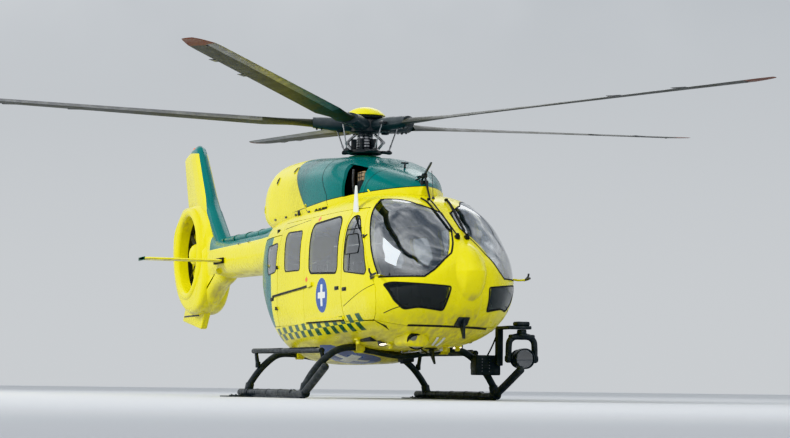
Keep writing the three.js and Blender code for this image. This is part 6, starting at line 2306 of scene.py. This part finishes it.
class HELI_OT_stage(bpy.types.Operator):
    """Sets the floor, the soft lights and the camera"""
    bl_idname = "helicopter.stage"
    bl_label = "Stage"

    def execute(self, context):
        scene = context.scene
        bm = bmesh.new()
        bmesh.ops.create_grid(bm, x_segments=1, y_segments=1, size=150)
        floor_mesh = to_mesh(bm)
        material, tree, shader = new_material("Studio floor")
        fill(tree, shader, {"Base Color": (0.56, 0.57, 0.58, 1), "Roughness": 0.9})
        floor_mesh.materials.append(material)
        floor = bpy.data.objects.new("studio_floor", floor_mesh)
        scene.collection.objects.link(floor)
        scene.view_settings.view_transform = "Khronos PBR Neutral"
        world = bpy.data.worlds.new("Studio")
        scene.world = world
        world.use_nodes = True
        tree = world.node_tree
        coords = add(tree, "ShaderNodeTexCoord", {}, {}).outputs["Object"]
        height = split(tree, coords)["Z"]
        clouds = ramp(tree, noise(tree, coords, 2.6, 5, 0.6), 0.35, 0.68)
        sky = blend_colour(tree, ramp(tree, height, 0.0, 0.6), (0.8, 0.83, 0.86, 1), (0.34, 0.39, 0.46, 1))
        mask = calc(tree, "MULTIPLY", clouds, ramp(tree, height, 0.12, 0.45))
        sky = blend_colour(tree, mask, sky, (1.9, 1.95, 2.0, 1))
        fill(tree, tree.nodes["Background"], {"Color": sky, "Strength": 0.78})
        for name, at, aim, size, power in (
            ("key", (-1, -15, 12), (0, 0, 1.5), 7, 2600), ("front", (15, -2, 9), (0, 0, 1.5), 9, 500),
            ("rim", (-12, 8, 14), (-3, 0, 2), 9, 350),
        ):
            light = bpy.data.lights.new(name, "AREA")
            light.size = size
            light.energy = power
            lamp = bpy.data.objects.new(name, light)
            lamp.location = at
            lamp.visible_glossy = name == "rim"
            lamp.rotation_euler = (Vector(aim) - Vector(at)).to_track_quat("-Z", "Y").to_euler()
            scene.collection.objects.link(lamp)
        self.camera(scene)
        return {"FINISHED"}

    def camera(self, scene):
        """Puts the mast where the photograph has it, at the photograph's scale."""
        view = scene.helicopter_camera
        # Of the photograph: its width and focal length in pixels, and the distance it is taken from
        width, focal_far, far = 790, 4263.8, 51.55
        target_pixel, centre_pixel = Vector((364.2, 232.8)), Vector((395, 219))
        target = Vector((ROTOR_X, 0, 2.0))
        drop = math.asin((target.z - view.height) / view.distance)
        level = math.cos(drop)
        out = Vector((level * math.cos(view.azimuth), -level * math.sin(view.azimuth), -math.sin(drop)))
        place = target + out * view.distance
        focal = focal_far * view.distance / far
        turn = (-out).to_track_quat("-Z", "Y")
        right, up = turn @ Vector(AHEAD), turn @ Vector(PORT)
        off = (centre_pixel - target_pixel) * view.distance / focal
        aim = target + right * off.x - up * off.y
        data = bpy.data.cameras.new("camera")
        data.sensor_width = 36
        data.lens = focal * data.sensor_width / width
        data.clip_end = 500
        camera = bpy.data.objects.new("camera", data)
        camera.location = place
        roll = Matrix.Rotation(view.roll, 3, "Z").to_quaternion()
        camera.rotation_euler = ((aim - place).to_track_quat("-Z", "Y") @ roll).to_euler()
        scene.collection.objects.link(camera)
        scene.camera = camera


class HELI_PT_panel(bpy.types.Panel):
    """Lists the helicopter's groups of pieces"""
    bl_label = "Helicopter"
    bl_idname = "HELI_PT_panel"
    bl_space_type = "VIEW_3D"
    bl_region_type = "UI"
    bl_category = "Helicopter"

    def draw(self, context):
        for operator in OPERATORS:
            self.layout.operator(operator.bl_idname)
        scene = context.scene
        for settings in (scene.helicopter_paint, scene.helicopter_sizes, scene.helicopter_camera):
            for key in settings.bl_rna.properties.keys():
                if key not in ("rna_type", "name"):
                    self.layout.prop(settings, key)


OPERATORS = (
    HELI_OT_stage, HELI_OT_cabin, HELI_OT_doors, HELI_OT_windows, HELI_OT_markings, HELI_OT_cowling,
    HELI_OT_main_rotor, HELI_OT_tail, HELI_OT_tail_rotor, HELI_OT_landing_gear, HELI_OT_searchlight,
    HELI_OT_fittings, HELI_OT_interior,
)
CLASSES = (HelicopterPaint, HelicopterSizes, HelicopterCamera, *OPERATORS, HELI_PT_panel)


def register():
    for each in CLASSES:
        bpy.utils.register_class(each)
    bpy.types.Scene.helicopter_paint = PointerProperty(type=HelicopterPaint)
    bpy.types.Scene.helicopter_sizes = PointerProperty(type=HelicopterSizes)
    bpy.types.Scene.helicopter_camera = PointerProperty(type=HelicopterCamera)


def unregister():
    del bpy.types.Scene.helicopter_camera
    del bpy.types.Scene.helicopter_sizes
    del bpy.types.Scene.helicopter_paint
    for each in reversed(CLASSES):
        bpy.utils.unregister_class(each)


def main():
    register()
    for operator in OPERATORS:
        kind, name = operator.bl_idname.split(".")
        getattr(getattr(bpy.ops, kind), name)()


if __name__ == "__main__":
    main()
